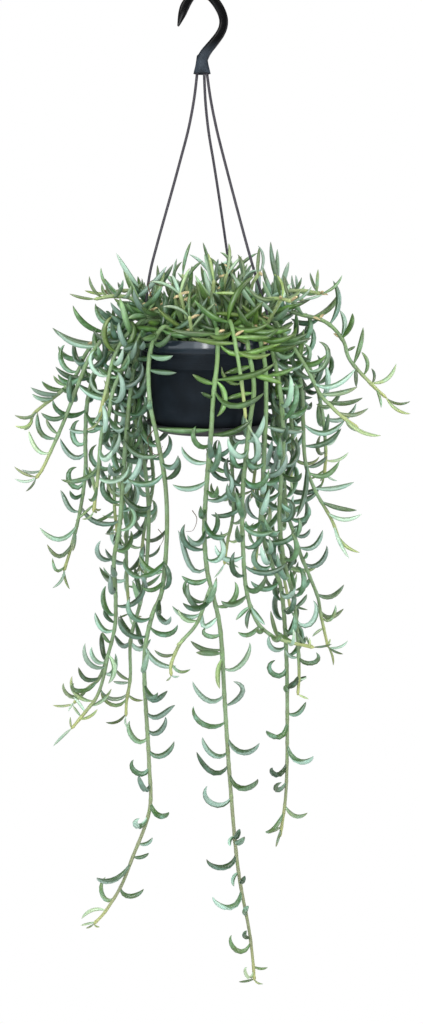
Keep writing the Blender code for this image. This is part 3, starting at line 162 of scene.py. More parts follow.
STRAND_SQUARENESS = 2.6
STRAND_FLATNESS = 0.85
BAR_SIDES = 12
BAR_ENDS = (0.55, 0.9, 1.0, 1.0, 1.0, 1.0, 1.0, 0.9, 0.55)
BAR_FIT = 1.05

# A long stem is 4.4 mm thick at its root and 2.4 mm at its tip. Its solid has three sides.
STEM_ROOT = 2.2
STEM_TIP = 1.2
LONG_STEM = 500.0
STEM_FULLNESS = 1.3
STEM_STEP = 4.0
ROOT_POINTS = 4
STEM_STRAIGHTNESS = 1.1
STEM_APART = 7.2
CREST_REACH = 92.0
SETTLE_ROUNDS = 50

# A leaf is a slender horn, given by its girth at some shares of its length.
LEAF_LENGTH = 47.0
LEAF_RADIUS = 3.15
LEAF_WANDER = 0.75
LEAF_SHARES = (0.0, 0.3, 0.66, 1.0)
LEAF_GIRTHS = (0.1, 0.9, 0.92, 0.1)
CROWDED_SPACING = 6.6
OPEN_SPACING = 11.5
OPEN_FROM = 270.0
SHOOT_SPACING = 5.6
SOLID_SHARE = 6
TIP_CROWN = (1.5, 3.5, 6.0, 10.0)
TIP_SPACING = 11.0
YOUNG_STRETCH = 55.0
LEAF_CLEAR = 0.55
LEAF_REACH = 9.0
LEAF_TRIES = 40
LEAF_SEED = 11
LEAF_SAMPLES = 18

# How far back or forth the tip of a set leaf may be swung, and the longest bare stretch between two
# set leaves where no other leaf grows.
SET_SWINGS = (0, -7, 7, -14, 14, -21, 21, -28, 28, -35, 35, -42)
SET_GAP = 62.0
SET_ROOM = 5.0
BEND_STRETCH = 1.25
# How a stem's tip is crowned: each leaf's rise from the stem's course, in degrees, and its size.
CROWN_RISES = (10.0, 50.0, 40.0, 30.0)
CROWN_SIZES = (0.75, 0.5, 0.6, 0.8)
SWING_STEP = 14.0
LEAF_NEAR = 70.0

Stem = namedtuple("Stem", "name root crest route forks")
Leaf = namedtuple("Leaf", "stem slot points radius")

# The stems that the front view shows: the root's azimuth and distance from the middle, the height
# of the crest over the rim, the way down, and the side stems.
HANGING = (
    Stem("stem_front_long", (-80, 46), 12, (
        (9, -84, -19), (5, -85, -56), (2, -84, -102), (-2, -82, -148), (-5, -80, -204), (-2, -79, -249),
        (4, -78, -276), (13, -76, -322), (18, -75, -406), (24, -74, -500), (34, -72, -615),
        (48, -70, -700), (53, -70, -742), (55, -70, -769)),
        (((2, -78, -268), (-13, -86, -308), (-32, -90, -331), (-42, -92, -354), (-42, -92, -368)),)),
    Stem("stem_front_right", (-58, 50), 14, (
        (44, -74, -20), (48, -76, -51), (43, -76, -94), (37, -74, -160), (37, -72, -206), (41, -70, -270),
        (52, -68, -309), (67, -66, -327), (86, -64, -337), (120, -60, -346)), ()),
    Stem("stem_front_mid", (-66, 34), 20, (
        (29, -86, -9), (35, -92, -46), (39, -92, -80)), ()),
    Stem("stem_left_near", (-158, 34), 26, (
        (-88, -34, 6), (-104, -40, -20), (-113, -44, -56), (-117, -46, -88)), ()),
    Stem("stem_left_long", (-135, 46), 14, (
        (-63, -60, -12), (-64, -64, -63), (-56, -62, -107), (-48, -60, -157), (-47, -58, -215),
        (-53, -58, -279), (-65, -60, -310), (-74, -62, -365), (-70, -64, -483), (-70, -66, -545),
        (-91, -68, -606), (-105, -70, -642), (-124, -72, -674), (-138, -73, -690)), ()),
    Stem("stem_left_fork", (-158, 52), 16, (
        (-80, -30, -20), (-91, -30, -89), (-102, -26, -207), (-110, -24, -253), (-109, -22, -300),
        (-112, -20, -341), (-129, -17, -396), (-145, -13, -414), (-164, -8, -436)),
        (((-118, -19, -368), (-125, -24, -399), (-133, -27, -420), (-144, -31, -434), (-163, -36, -456)),)),
    Stem("stem_left_inner", (-174, 40), 24, (
        (-84, -8, -10), (-85, -4, -81), (-76, 4, -136), (-71, 8, -197), (-74, 10, -262), (-82, 12, -312),
        (-95, 12, -362), (-96, 10, -408), (-101, 8, -440), (-102, 8, -459)), ()),
    Stem("stem_left_short", (172, 54), 18, (
        (-96, 12, -24), (-108, 16, -95), (-111, 18, -159), (-112, 20, -202), (-109, 22, -234)), ()),
    Stem("stem_left_mid", (161, 48), 14, (
        (-80, 32, -8), (-89, 36, -50), (-95, 38, -98), (-95, 40, -137), (-100, 42, -176),
        (-107, 44, -222)), ()),
    Stem("stem_left_high", (150, 28), 34, (
        (-98, 20, 18), (-124, 22, 1), (-141, 24, -18), (-154, 24, -44), (-167, 22, -59), (-186, 20, -74),
        (-204, 18, -89), (-207, 18, -101)), ()),
    Stem("stem_left_out", (-168, 24), 28, (
        (-104, -18, 10), (-129, -24, -15), (-143, -30, -45), (-162, -32, -91), (-178, -30, -125),
        (-188, -30, -145), (-196, -28, -156)), ()),
    Stem("stem_left_drop", (-142, 28), 22, (
        (-94, -12, 2), (-125, -8, -34), (-138, -4, -70), (-142, -2, -116), (-143, 0, -152), (-151, 2, -201),
        (-164, 6, -248), (-173, 8, -275)), ()),
    Stem("stem_left_side", (-150, 60), 12, (
        (-84, -40, -12), (-104, -44, -52), (-118, -46, -100), (-124, -44, -150), (-130, -42, -192)), ()),
    Stem("stem_right_high", (14, 28), 40, (
        (98, 14, 27), (132, 12, 17), (152, 10, -3), (161, 10, -26), (187, 10, -54), (204, 12, -69)), ()),
    Stem("stem_right_out", (-18, 44), 24, (
        (87, -28, -1), (108, -30, -32), (123, -32, -60), (134, -34, -72), (148, -36, -85),
        (166, -38, -97)), ()),
    Stem("stem_right_drop", (-2, 56), 20, (
        (84, -2, -8), (103, -6, -47), (107, -8, -92), (110, -10, -138), (121, -10, -171), (142, -8, -208),
        (152, -6, -233)), ()),
    Stem("stem_right_tuft", (28, 50), 12, (
        (76, 34, -16), (82, 34, -98), (88, 30, -158), (92, 26, -203), (100, 25, -228), (109, 22, -256),
        (121, 19, -285), (131, 17, -310), (135, 15, -332), (144, 12, -371)), ()),
    Stem("stem_right_front", (-34, 56), 14, (
        (69, -44, -13), (79, -48, -65), (82, -48, -120), (79, -46, -194), (85, -44, -247), (96, -42, -289),
        (102, -40, -334), (105, -40, -383), (104, -40, -412)), ()),
    Stem("stem_right_long", (-46, 38), 18, (
        (58, -60, -12), (62, -63, -64), (60, -58, -143), (60, -50, -211), (72, -42, -254), (83, -38, -284),
        (90, -34, -358), (93, -30, -448), (93, -28, -540), (87, -26, -602)), ()),
    Stem("stem_right_low", (22, 36), 22, (
        (92, 24, -4), (119, 28, -41), (132, 30, -85), (138, 32, -133), (137, 34, -166)), ()),
    Stem("stem_right_side", (8, 58), 13, (
        (83, 12, -18), (92, 16, -72), (98, 20, -122), (96, 24, -166)), ()),
    Stem("stem_back_mid", (72, 52), 14, (
        (26, 80, -16), (27, 84, -79), (27, 84, -135), (30, 80, -215), (23, 78, -255), (19, 76, -285)), ()),
    Stem("stem_back_right", (46, 48), 16, (
        (58, 60, -16), (64, 64, -77), (66, 62, -125), (65, 58, -174), (62, 54, -223), (56, 50, -286)), ()),
)

# The stems at the back, as (azimuth, drop below the rim, reach from the middle at the foot).
BACK_STEMS = (
    (33, 340, 118), (58, 200, 98), (86, 88, 92), (99, 76, 96), (113, 68, 100), (126, 80, 98),
    (139, 290, 108), (150, 350, 122),
)
BACK_SWAY = 9.0
BACK_STEP = 60.0
BACK_START = 83.0

# The upright shoots that make the mound, as (azimuth, distance of the root, height over the rim).
SHOOTS = (
    (-92, 22, 64), (-122, 36, 50), (-66, 12, 72), (-150, 12, 70), (168, 22, 60), (126, 38, 58),
    (96, 22, 72), (60, 36, 60), (30, 14, 74), (-12, 30, 72), (-36, 24, 62), (84, 57, 46),
    (-108, 54, 26), (-24, 62, 46),
)
SHOOT_LEAN = 0.42

# The spreading shoots at the mound's sides, as (azimuth, distance of the root, reach, height at the tip).
SPREADING = (
    (-173, 50, 128, 46), (164, 38, 122, 52), (140, 60, 108, 40), (-4, 42, 126, 52), (20, 60, 118, 44),
    (-31, 38, 108, 44),
)

# Leaves that stand alone in the front view, by stem and line. Each one: the height of its foot, how
# far back its tip reaches, and the points that it passes, as (right, up) from its foot.
SET_LEAVES = {
    ("stem_front_long", 0): (
        (1, -10, (11, -11), (25, -15), (46, -9), (68, -3)), (-40, -14, (21, 3), (38, 7), (62, 21)),
        (-41, -6, (9, -12), (8, -28), (1, -37)), (-44, -8, (-13, 4), (-24, 11)),
        (-51, -12, (10, -11), (24, -15), (38, -7), (51, 3)), (-59, -8, (-7, 3), (-14, 7)),
        (-93, -4, (-23, -1), (-58, 2)), (-98, -10, (18, 2), (43, 18)),
        (-246, 0, (-11, -5), (-24, 16), (-32, 42)), (-258, 0, (-13, -6), (-30, 2)),
        (-280, 0, (-17, -7), (-33, 6)), (-291, 0, (15, 2), (23, 15), (21, 28)),
        (-304, 0, (-16, -11), (-17, 3)), (-323, 0, (-12, -5), (-19, -1), (-16, 6)),
        (-343, 0, (-11, -2), (-35, 10)), (-348, -22, (-16, 4), (-29, 9)),
        (-353, -10, (-5, -12), (-3, -24)), (-364, 0, (9, -3), (21, 4), (30, 30)),
        (-396, 0, (-15, -8), (-29, 3), (-36, 18)), (-410, 0, (12, 6), (20, 18), (9, 29)),
        (-429, 0, (-16, -6), (-32, 3), (-37, 21)), (-448, 0, (15, -15), (26, -10), (36, 5)),
        (-467, 0, (-11, -5), (-25, 7), (-29, 21)), (-483, 0, (-15, -10), (-31, 5), (-37, 19)),
        (-493, 0, (12, -14), (26, -5), (31, 9)), (-524, 0, (-16, -10), (-28, -2), (-28, 17)),
        (-575, -16, (-6, -2), (-5, -4)), (-578, -18, (2, 10), (5, 26)), (-582, -16, (4, 9), (10, 27)),
        (-596, 0, (-20, -19), (-31, -13), (-35, -5)), (-623, -14, (-7, -5), (-6, -10)),
        (-635, -14, (2, 7), (5, 21)), (-643, 0, (-20, -24), (-31, -15), (-34, -7)),
        (-680, -14, (-2, 14), (2, 30)), (-711, -12, (-7, 9), (-5, 23)),
        (-716, 0, (-13, -12), (-22, -3), (-23, 14)), (-749, 0, (10, -4), (18, -2)),
        (-755, 0, (-4, -7), (-10, 3), (-8, 14)), (-767, 0, (-9, -3), (-19, -4)),
        (-767, 0, (5, -6), (11, -7)),),
    ("stem_front_long", 1): (
        (-305, 0, (-11, 0), (-22, 13)), (-327, 0, (-2, -1), (-7, -3)), (-342, 0, (-11, -3), (-23, 4)),
        (-353, 0, (9, -10), (21, -7)), (-367, 0, (3, -2), (9, -1)), (-368, 0, (-3, -4), (-6, -6)),),
    ("stem_front_right", 0): (
        (-3, -10, (-4, 3), (-18, 9)), (-13, -9, (-14, -1), (-25, 5)), (-26, -12, (-12, -3), (-29, -7)),
        (-36, -12, (12, -2), (31, -8)), (-55, -12, (-15, -2), (-30, -6)),
        (-89, -12, (-15, -7), (-41, -13)), (-294, 0, (7, -8), (15, -15)), (-294, 0, (-10, -7), (-17, -14)),
        (-296, 0, (-5, -10), (-5, -20)), (-317, 0, (-16, -11), (-25, -6)),),
    ("stem_left_long", 0): (
        (-151, 0, (11, 6), (17, 26)), (-208, 0, (5, -6), (2, -14)), (-228, 0, (-9, -3), (-18, 3)),
        (-397, 0, (9, -9), (18, -3), (27, 8)), (-423, 0, (10, -6), (22, 1), (34, 11)),
        (-444, 0, (9, -6), (18, 1), (21, 15)), (-454, 0, (-10, -6), (-18, 1), (-20, 20)),
        (-469, 0, (13, -9), (25, -1), (30, 10)), (-490, 0, (-12, -10), (-20, -3), (-18, 8)),
        (-511, 0, (-4, -7), (-10, 3), (-12, 16)), (-533, 0, (9, -14), (17, -10), (23, 0)),
        (-552, 0, (-8, -8), (-13, -1), (-7, 12)), (-588, 0, (10, 0), (17, 8)), (-604, 0, (6, -1), (19, 5)),
        (-611, 0, (-19, -15), (-30, -8), (-36, 5)), (-643, 0, (11, -12), (21, -9), (28, -2)),
        (-655, 0, (-13, -8), (-18, -2), (-13, 9)), (-673, 0, (-11, 2), (-21, -2), (-29, -11)),
        (-688, 0, (-9, 0), (-17, 0)), (-690, 0, (-5, -4), (-10, -6)), (-690, 0, (4, -4), (7, -4)),),
    ("stem_right_long", 0): (
        (-377, 0, (-13, -13), (-20, -6), (-13, 6)), (-404, 0, (13, 7), (23, 13)),
        (-406, -6, (7, 10), (10, 25)), (-409, -12, (-2, 6), (-5, 16)), (-438, 0, (4, -2), (22, 14)),
        (-447, 0, (-17, -19), (-24, -12), (-25, -8)), (-476, 0, (13, -19), (23, -13), (28, -1)),
        (-502, 0, (-13, -13), (-19, -5), (-18, 3)), (-527, 0, (-10, -8), (-14, -2), (-7, 9)),
        (-559, 0, (18, -15), (28, -10)), (-568, 0, (-14, -16), (-24, -11)), (-587, 0, (-8, -6), (-17, -9)),
        (-591, 0, (-4, -6), (-8, -13)),),
    ("stem_left_fork", 0): (
        (-330, 0, (-9, 9), (-12, 18)), (-338, 0, (-10, -2), (-18, 7), (-22, 21)),
        (-355, 0, (-5, 6), (-9, 16)), (-370, 0, (8, -15), (1, -31)),
        (-378, 0, (-7, -2), (-16, 8), (-16, 18)), (-380, -8, (-2, -10), (-5, -21)),
        (-399, 0, (-12, -1), (-23, 18)), (-403, 0, (-17, -9), (-26, -2), (-23, 10)),
        (-415, 0, (-15, -8), (-24, 1), (-25, 16)), (-434, 0, (-3, -2), (-7, -9)),
        (-436, 0, (-11, -3), (-25, -2)),),
    ("stem_left_fork", 1): (
        (-437, 0, (-5, 9), (-13, 19)), (-442, 0, (-5, 7), (-10, 15)), (-445, 0, (13, 5), (23, 16)),
        (-455, 0, (-11, -10), (-23, -23)), (-456, 0, (-1, 6), (-1, 15)),),
    ("stem_left_inner", 0): (
        (-363, 0, (-11, -11), (-22, -1)), (-363, 0, (11, -15), (23, -7)), (-412, 0, (-9, 4), (-17, 14)),
        (-415, 0, (-10, -1), (-20, 1)), (-428, 0, (-16, -9), (-29, -4), (-33, 6)),
        (-430, 0, (10, -8), (19, -8)), (-434, -8, (-15, -9), (-27, 1), (-30, 12)),
        (-455, 0, (-10, -8), (-24, -6)), (-459, 0, (-1, -8), (2, -16)),),
    ("stem_left_drop", 0): (
        (-90, 0, (12, -2), (23, 0)), (-106, 0, (-11, 0), (-20, 3)), (-106, 0, (9, 1), (17, 5)),
        (-117, 0, (-11, -4), (-16, 5), (-8, 23)), (-129, 0, (-14, -7), (-23, 1), (-29, 15)),
        (-147, 0, (6, -9), (17, 7)), (-154, 0, (3, -9), (3, -23)),
        (-163, 0, (-11, -9), (-18, 1), (-8, 15)), (-179, 0, (-7, -4), (-13, 6)),
        (-200, 0, (-7, 0), (-16, 12), (-22, 25)), (-218, 0, (-16, -13), (-39, 4)),
        (-226, -6, (0, -8), (-1, -19)), (-240, 0, (-12, -13), (-26, 4)), (-267, 0, (-7, -5), (-13, 13)),
        (-271, 0, (-3, -12), (-12, -18)), (-273, 0, (2, -15), (6, -24)),),
    ("stem_left_out", 0): (
        (-82, 0, (-12, -5), (-26, 3)), (-105, 0, (-7, 6), (-13, 18)), (-110, 0, (-11, 1), (-20, 29)),
        (-126, 0, (-10, 0), (-19, 11), (-23, 25)), (-146, 0, (-10, -2), (-21, 2)),
        (-154, 0, (-11, -5), (-25, -2)), (-154, 0, (-14, 4), (-25, 12)), (-156, 0, (-6, -10), (-12, -15)),),
    ("stem_left_high", 0): (
        (-55, 0, (-8, 2), (-16, 11)), (-60, 0, (-16, -1), (-29, 7)), (-65, 0, (-13, 0), (-29, 9)),
        (-69, 0, (-13, -1), (-22, 6)), (-73, 0, (-6, -2), (-15, -1)), (-85, 0, (-8, -6), (-22, -2)),
        (-91, 0, (-5, -10), (-17, -8)), (-101, 0, (-4, -4), (-9, -6)),),
    ("stem_right_high", 0): (
        (14, 0, (10, 28), (3, 49)), (-1, 0, (4, 17), (-2, 31)), (-2, 0, (9, 16), (9, 29)),
        (-15, 0, (5, 2), (10, 5)), (-31, 0, (6, 17), (10, 42)), (-34, -10, (0, -11), (0, -22)),
        (-43, 0, (4, 10), (-4, 27)), (-52, 0, (15, 2), (29, 22)), (-53, 12, (4, 9), (1, 17)),
        (-58, -6, (4, -10), (5, -21)), (-69, 0, (15, -7), (28, -4)), (-69, 0, (12, -13), (25, -16)),),
    ("stem_right_out", 0): (
        (-47, 0, (16, -5), (31, 2), (44, 16)), (-60, 0, (22, 1), (41, 8)), (-68, 0, (21, -3), (42, 3)),
        (-73, 0, (-9, 0), (-17, 3)), (-79, 0, (17, -6), (39, 1)), (-87, 0, (10, -12), (23, -16)),
        (-87, 0, (16, -12), (34, -13)),),
    ("stem_right_drop", 0): (
        (-96, 0, (22, -11), (47, 4)), (-121, 0, (24, 3), (42, 20)), (-142, 0, (-3, -31), (-14, -54)),
        (-146, 0, (10, 2), (23, 13)), (-152, 0, (14, -5), (36, 13)), (-170, 0, (19, -1), (46, 7)),
        (-186, 0, (16, -6), (41, -9)), (-199, 0, (17, -7), (38, 1)), (-216, -5, (6, -17), (15, -32)),
        (-224, 0, (8, -12), (25, -19)),),
    ("stem_right_tuft", 0): (
        (-225, 0, (14, 6), (18, 19), (14, 35)), (-233, 0, (12, -2), (19, 7)),
        (-249, 0, (13, -2), (29, 21)), (-264, 0, (4, 5), (4, 11)), (-267, 0, (15, -4), (25, 7), (27, 21)),
        (-285, 0, (-4, -13), (-16, -21)), (-305, 0, (14, -6), (34, 9)), (-325, 0, (12, -13), (31, -5)),
        (-334, 0, (9, -4), (14, 2), (16, 15)), (-348, 0, (-8, -5), (-14, -11)), (-370, 0, (1, 5), (2, 12)),
        (-371, 0, (12, -1), (24, 8)), (-371, 0, (6, -13), (7, -24)), (-371, 0, (9, -4), (17, -4)),),
    ("stem_right_front", 0): (
        (-304, 0, (7, 5), (14, 16)), (-320, 0, (14, -6), (23, 8), (19, 24)), (-350, 0, (8, 5), (8, 11)),
        (-362, 0, (11, -9), (21, -4), (19, 8)), (-365, 0, (-7, 0), (-15, 9)), (-393, 0, (5, 1), (10, 3)),
        (-411, 0, (6, -3), (13, -6)),),
}

# The rings of a leaf: the share of its length, and its girth there against its widest.
LEAF_SHAPE = (
    (0.0, 0.50), (0.035, 0.38), (0.08, 0.42), (0.15, 0.60), (0.25, 0.84), (0.37, 0.97), (0.50, 1.0),
    (0.62, 0.97), (0.73, 0.87), (0.82, 0.70), (0.89, 0.50), (0.945, 0.30), (0.98, 0.13), (1.0, 0.0),
)
LEAF_GROOVE = 0.13
GROOVE_WIDTH = 0.45
LEAF_RING_STEP = 0.8
EXTRA_TRIES = 90
YOUNG_LEAVES = 105.0
YOUNG_SLIMNESS = 0.2
# Of the finer leaves, the share that hugs the stem, and the share up to which the others curl further.
HUGGING_SHARE = 0.15
CURLING_SHARE = 0.78

# A stem keeps more of its girth than its solid. It swells where a leaf grows, and its end is rounded.
STEM_EVENNESS = 0.4
STEM_ROUND = 9
STEM_RING_STEP = 3.0
SWELLING = 0.16
SWELLING_REACH = 2.6
STEM_END = 0.45
STEM_GRAIN = 10.0
SHOOT_YOUTH = 0.5
BOX_MARGIN = 0.1

# Where finer leaves are left out, and how often: before the pot, among the upright shoots and at the
# thin fork of the left stem.
BEFORE_POT = {"front": -36.0, "side": 78.0, "low": -104.0, "high": -6.0, "share": 0.9}
LOOSE_MOUND = 0.42
THIN_FORK = {"right": -52.0, "high": -325.0, "share": 0.6}

# The bright green leaves: their middle over the rim's front, how far they reach, and how the mound's
# crest and single strays share the colour.
BRIGHT_MIDDLE = (28.0, -25.0, -22.0)
BRIGHT_REACH = (78.0, 12.0, 62.0)
BRIGHT_FRONT = 1.35
MOUND_CREST = (20.0, 34.0)
CREST_SHARE = 0.36
CREST_BRIGHT = (0.75, 0.08)
STRAY_SHARE = 0.16
STRAY_BRIGHT = 0.55

# The dry scales at the feet of some leaves: their run, how far they sink, and their half width.
HUSK_LOWEST = -14.0
HUSK_SHARE = 0.30
HUSK_ALONG = (0.0, 2.2, 5.0, 8.0, 10.0)
HUSK_SINK = (0.0, 0.1, 0.5, 1.4, 2.4)
HUSK_WIDTH = (0.6, 1.5, 1.8, 1.2, 0.4)
SMALL_SIDES = 7

# The seeds of what is drawn by chance.
BACK_SEED = 500
SHOOT_SEED = 900
STEM_SEED = 3100
GRANULE_SEED = 77
STEM_STRIDE = 7919
LINE_STRIDE = 104729

# Dead tendrils, as their thickness and the points they pass.
DRY_TENDRILS = (
    (0.55, ((-60, -72, -95), (-66, -74, -104), (-62, -76, -118), (-54, -75, -121), (-50, -73, -112))),
    (0.5, ((-18, -88, -180), (-13, -90, -189), (-17, -92, -201), (-25, -90, -203))),
    (0.5, ((-56, -70, -205), (-50, -72, -214), (-54, -74, -224))),
    (0.9, ((-62, -30, 44), (-66, -34, 58), (-61, -36, 63))),
    (0.6, ((-58, -44, 60), (-50, -46, 57), (-42, -45, 60), (-37, -43, 52))),
)

# The photograph's view.
CAMERA_PLACE = (0.012827, -1.2, -0.296)
CAMERA_PITCH = 12.271
CAMERA_LENS = 36.993
CAMERA_SENSOR = 36.0
CAMERA_REACH = 60.0
FLOOR_STEPS = 96
ROOM_TINT = (0.98, 1.0, 0.94, 1.0)
MIRRORED_ROOM = 0.24
FLOOR_RINGS = (1000.0, 3000.0, 9000.0, 27000.0)
# Each light: its name, place, what it faces, its width and height, its share of the key power and
# its colour.
SOFT_LIGHTS = (
    ("key_softbox", (-1.1, -1.7, 1.0), (0.0, 0.0, -0.5), 1.2, 1.2, 0.88, (1.0, 0.985, 0.955)),
    ("front_strip", (-0.19, -1.9, -0.36), (0.0, 0.0, -0.40), 0.25, 0.62, 0.22, (1.0, 1.0, 1.0)),
    ("front_glow", (-0.22, -1.95, -0.36), (0.0, 0.0, -0.40), 1.15, 0.62, 0.34, (0.88, 0.95, 1.0)),
    ("left_glow", (-1.6, -1.35, -0.38), (0.0, 0.0, -0.40), 2.3, 0.70, 0.42, (0.82, 0.92, 1.0)),
    ("right_fill", (1.7, -0.9, -0.1), (0.0, 0.0, -0.5), 1.0, 1.4, 0.62, (0.95, 0.95, 1.0)),
    ("top_front", (0.5, -1.3, 1.5), (0.0, 0.0, -0.35), 0.9, 0.9, 0.75, (1.0, 0.99, 0.95)),
    ("top_back", (0.2, 1.1, 1.3), (0.0, 0.0, -0.4), 1.2, 0.8, 0.45, (1.0, 1.0, 0.97)),
    ("left_edge", (-1.5, 1.0, -0.4), (0.0, 0.0, -0.45), 0.8, 1.2, 0.22, (0.97, 0.94, 1.0)),
    ("right_edge", (1.5, 1.0, -0.4), (0.0, 0.0, -0.45), 0.8, 1.2, 0.30, (0.97, 0.94, 1.0)),
)


def colour_choice(name, description, default):
    return FloatVectorProperty(
        name=name, description=description, subtype="COLOR", size=4, min=0.0, max=1.0, default=default
    )


class PotSettings(bpy.types.PropertyGroup):
    """What a user would change on the pot, the saucer and the soil."""

    wall_colour: colour_choice("Pot", "Colour of the pot's plastic", (0.0090, 0.0125, 0.0170, 1.0))
    saucer_colour: colour_choice("Saucer", "Colour of the drip saucer", (0.016, 0.017, 0.022, 1.0))
    soil_colour: colour_choice("Soil", "Colour of the damp peat", (0.022, 0.013, 0.008, 1.0))
    round_steps: IntProperty(
        name="Steps round", description="Flat steps round the pot and the saucer", default=144, min=48,
        max=256
    )
    ridge_depth: FloatProperty(
        name="Ridge depth", description="Depth of the fine moulded lines on the collar", default=0.00007,
        min=0.0, max=0.001, subtype="DISTANCE", unit="LENGTH", precision=5
    )
    granules: IntProperty(
        name="Granules", description="Crumbs of bark and peat on the soil", default=620, min=0, max=2000
    )


class HangerSettings(bpy.types.PropertyGroup):
    """What a user would change on the hook and its strands."""

    hook_colour: colour_choice("Hook", "Colour of the hook's bar", (0.0030, 0.0030, 0.0034, 1.0))
    bell_colour: colour_choice("Bell", "Colour of the bell at the hook's foot", (0.029, 0.038, 0.050, 1.0))
    strand_colour: colour_choice("Strands", "Colour of the three strands", (0.028, 0.024, 0.034, 1.0))
    strand_width: FloatProperty(
        name="Strand width", description="Thickness of a strand", default=0.003, min=0.001, max=0.0032,
        subtype="DISTANCE", unit="LENGTH", precision=4
    )


class PlantSettings(bpy.types.PropertyGroup):
    """What a user would change on the plant."""

    leaf_colour: colour_choice("Leaves", "Waxy colour of the hanging leaves", (0.185, 0.335, 0.262, 1.0))
    bright_colour: colour_choice(
        "Bright leaves", "Colour of the leaves in the light at the rim", (0.150, 0.300, 0.055, 1.0)
    )
    waxy_colour: colour_choice(
        "Waxy leaves", "Colour of the leaves with the palest bloom", (0.39, 0.54, 0.47, 1.0)
    )
    deep_colour: colour_choice("Deep leaves", "Colour of the darker green leaves", (0.032, 0.088, 0.018, 1.0))
    tip_colour: colour_choice("Leaf tips", "Colour of the dry leaf tips", (0.060, 0.045, 0.030, 1.0))
    stem_colour: colour_choice("Stems", "Colour of the older stems", (0.235, 0.345, 0.190, 1.0))
    low_stem_colour: colour_choice(
        "Low stems", "Colour of the long stems towards their ends", (0.36, 0.36, 0.22, 1.0)
    )
    young_colour: colour_choice("New growth", "Colour of the young ends", (0.60, 0.62, 0.24, 1.0))
    dry_colour: colour_choice("Dry bits", "Colour of the dead tendrils", (0.095, 0.055, 0.025, 1.0))
    husk_colour: colour_choice("Husks", "Colour of the dry scales by the rim", (0.62, 0.50, 0.28, 1.0))
    leaf_fullness: FloatProperty(
        name="Leaf fullness", description="Girth of a leaf against that of its plain solid", default=1.07,
        min=0.5, max=1.2, subtype="FACTOR"
    )
    stem_fullness: FloatProperty(
        name="Stem fullness", description="Girth of a stem against that of its plain line", default=1.05,
        min=0.6, max=1.3, subtype="FACTOR"
    )
    leaf_sides: IntProperty(name="Leaf sides", description="Sides round a leaf", default=10, min=6, max=16)


class StageSettings(bpy.types.PropertyGroup):
    """What a user would change on the stage."""

    backdrop_colour: colour_choice("Backdrop", "Colour of the floor and the backdrop", (1.0, 1.0, 1.0, 1.0))
    room_light: FloatProperty(
        name="Room light", description="Strength of the even light from all round", default=0.37,
        min=0.0, max=3.0
    )
    key_power: FloatProperty(
        name="Key power", description="Power of the big soft light", default=26.0, min=0.0, max=500.0,
        subtype="POWER", unit="POWER"
    )
    floor_drop: FloatProperty(
        name="Floor drop", description="How far the floor is below the hook's seat", default=1.75, min=1.2,
        max=4.0, subtype="DISTANCE", unit="LENGTH"
    )


def polar(azimuth, distance):
    """(x, y) at an azimuth in degrees, counted from +X towards +Y."""
    angle = math.radians(azimuth)
    return distance * math.cos(angle), distance * math.sin(angle)


def pot_outline():
    """The pot's outer side from the lip down to its floor."""
    middle, low = POT_CORNER
    across, down = POT_CORNER_REACH
    turns = [math.radians(turn) for turn in POT_CORNER_TURNS]
    corner = [(middle + across * math.cos(turn), low - down * math.sin(turn)) for turn in turns]
    rim = [
        (LIP_RADIUS, 0.0), (RIM_RADIUS - RIM_ROUNDING, 0.0), (RIM_RADIUS, -RIM_ROUNDING),
        (RIM_RADIUS, 1.0 - RIM_BAND), (RIM_RADIUS - 1.0, -RIM_BAND),
        (COLLAR_RADIUS, -RIM_BAND - 1.6), (COLLAR_RADIUS, 0.5 - COLLAR_FOOT),
    ]
    return rim + list(POT_WALL) + corner


def saucer_outline():
    """The saucer's outer side, from its lip to its foot."""
    return [
        (SAUCER_RADIUS - 0.6, SAUCER_TOP), (SAUCER_RADIUS, SAUCER_TOP - 0.8), (70.6, -96.2), (62.0, -101.0),
        (SAUCER_FOOT + 1.0, -CLEAR - POT_HEIGHT - SAUCER_FLOOR),
    ]


def soil_height(x, y):
    """The lumps of the soil's top."""
    lumps = math.sin(0.21 * x + 1.3) * math.cos(0.17 * y - 0.4) + 0.6 * math.sin(0.43 * x - 0.37 * y)
    return SOIL_TOP + SOIL_LUMP * lumps / 1.6


def distances_along(line):
    """How far along a line each of its points is."""
    return np.concatenate([[0.0], np.cumsum(np.linalg.norm(np.diff(line, axis=0), axis=1))])


def points_at(wanted, along, line):
    """The points at the wanted places of a line, whose own points are at the places `along`."""
    return np.stack([np.interp(wanted, along, line[:, axis]) for axis in range(3)], axis=1)


def evened(line, step=STEM_STEP):
    """A line of straight runs, with a point about every step."""
    along = distances_along(line)
    wanted = np.linspace(0.0, along[-1], max(2, int(round(along[-1] / step)) + 1))
    return points_at(wanted, along, line)


def smooth_line(points, step):
    """Points about `step` apart on a smooth curve through the given ones."""
    given = np.array([points[0]] + list(points) + [points[-1]], float)
    given[0] += given[0] - given[2]
    given[-1] += given[-1] - given[-3]
    parts = []
    for k in range(1, len(given) - 2):
        a, b, c, d = given[k - 1 : k + 3]
        steps = max(2, int(math.ceil(np.linalg.norm(c - b) / step)) * 4)
        t = (np.arange(steps) / steps)[:, None]
        parts.append(b + 0.5 * t * (c - a + t * (2 * a - 5 * b + 4 * c - d + t * (3 * (b - c) + d - a))))
    return evened(np.vstack(parts + [given[-2:-1]]), step)


def hook_flatness(height):
    """How thick the hook is against its width: flat above, and round where it meets the bell."""
    share = (height - HOOK_ROUND_BELOW) / (HOOK_FLAT_ABOVE - HOOK_ROUND_BELOW)
    return HOOK_ROUNDNESS + (HOOK_FLATNESS - HOOK_ROUNDNESS) * min(1.0, max(0.0, share))


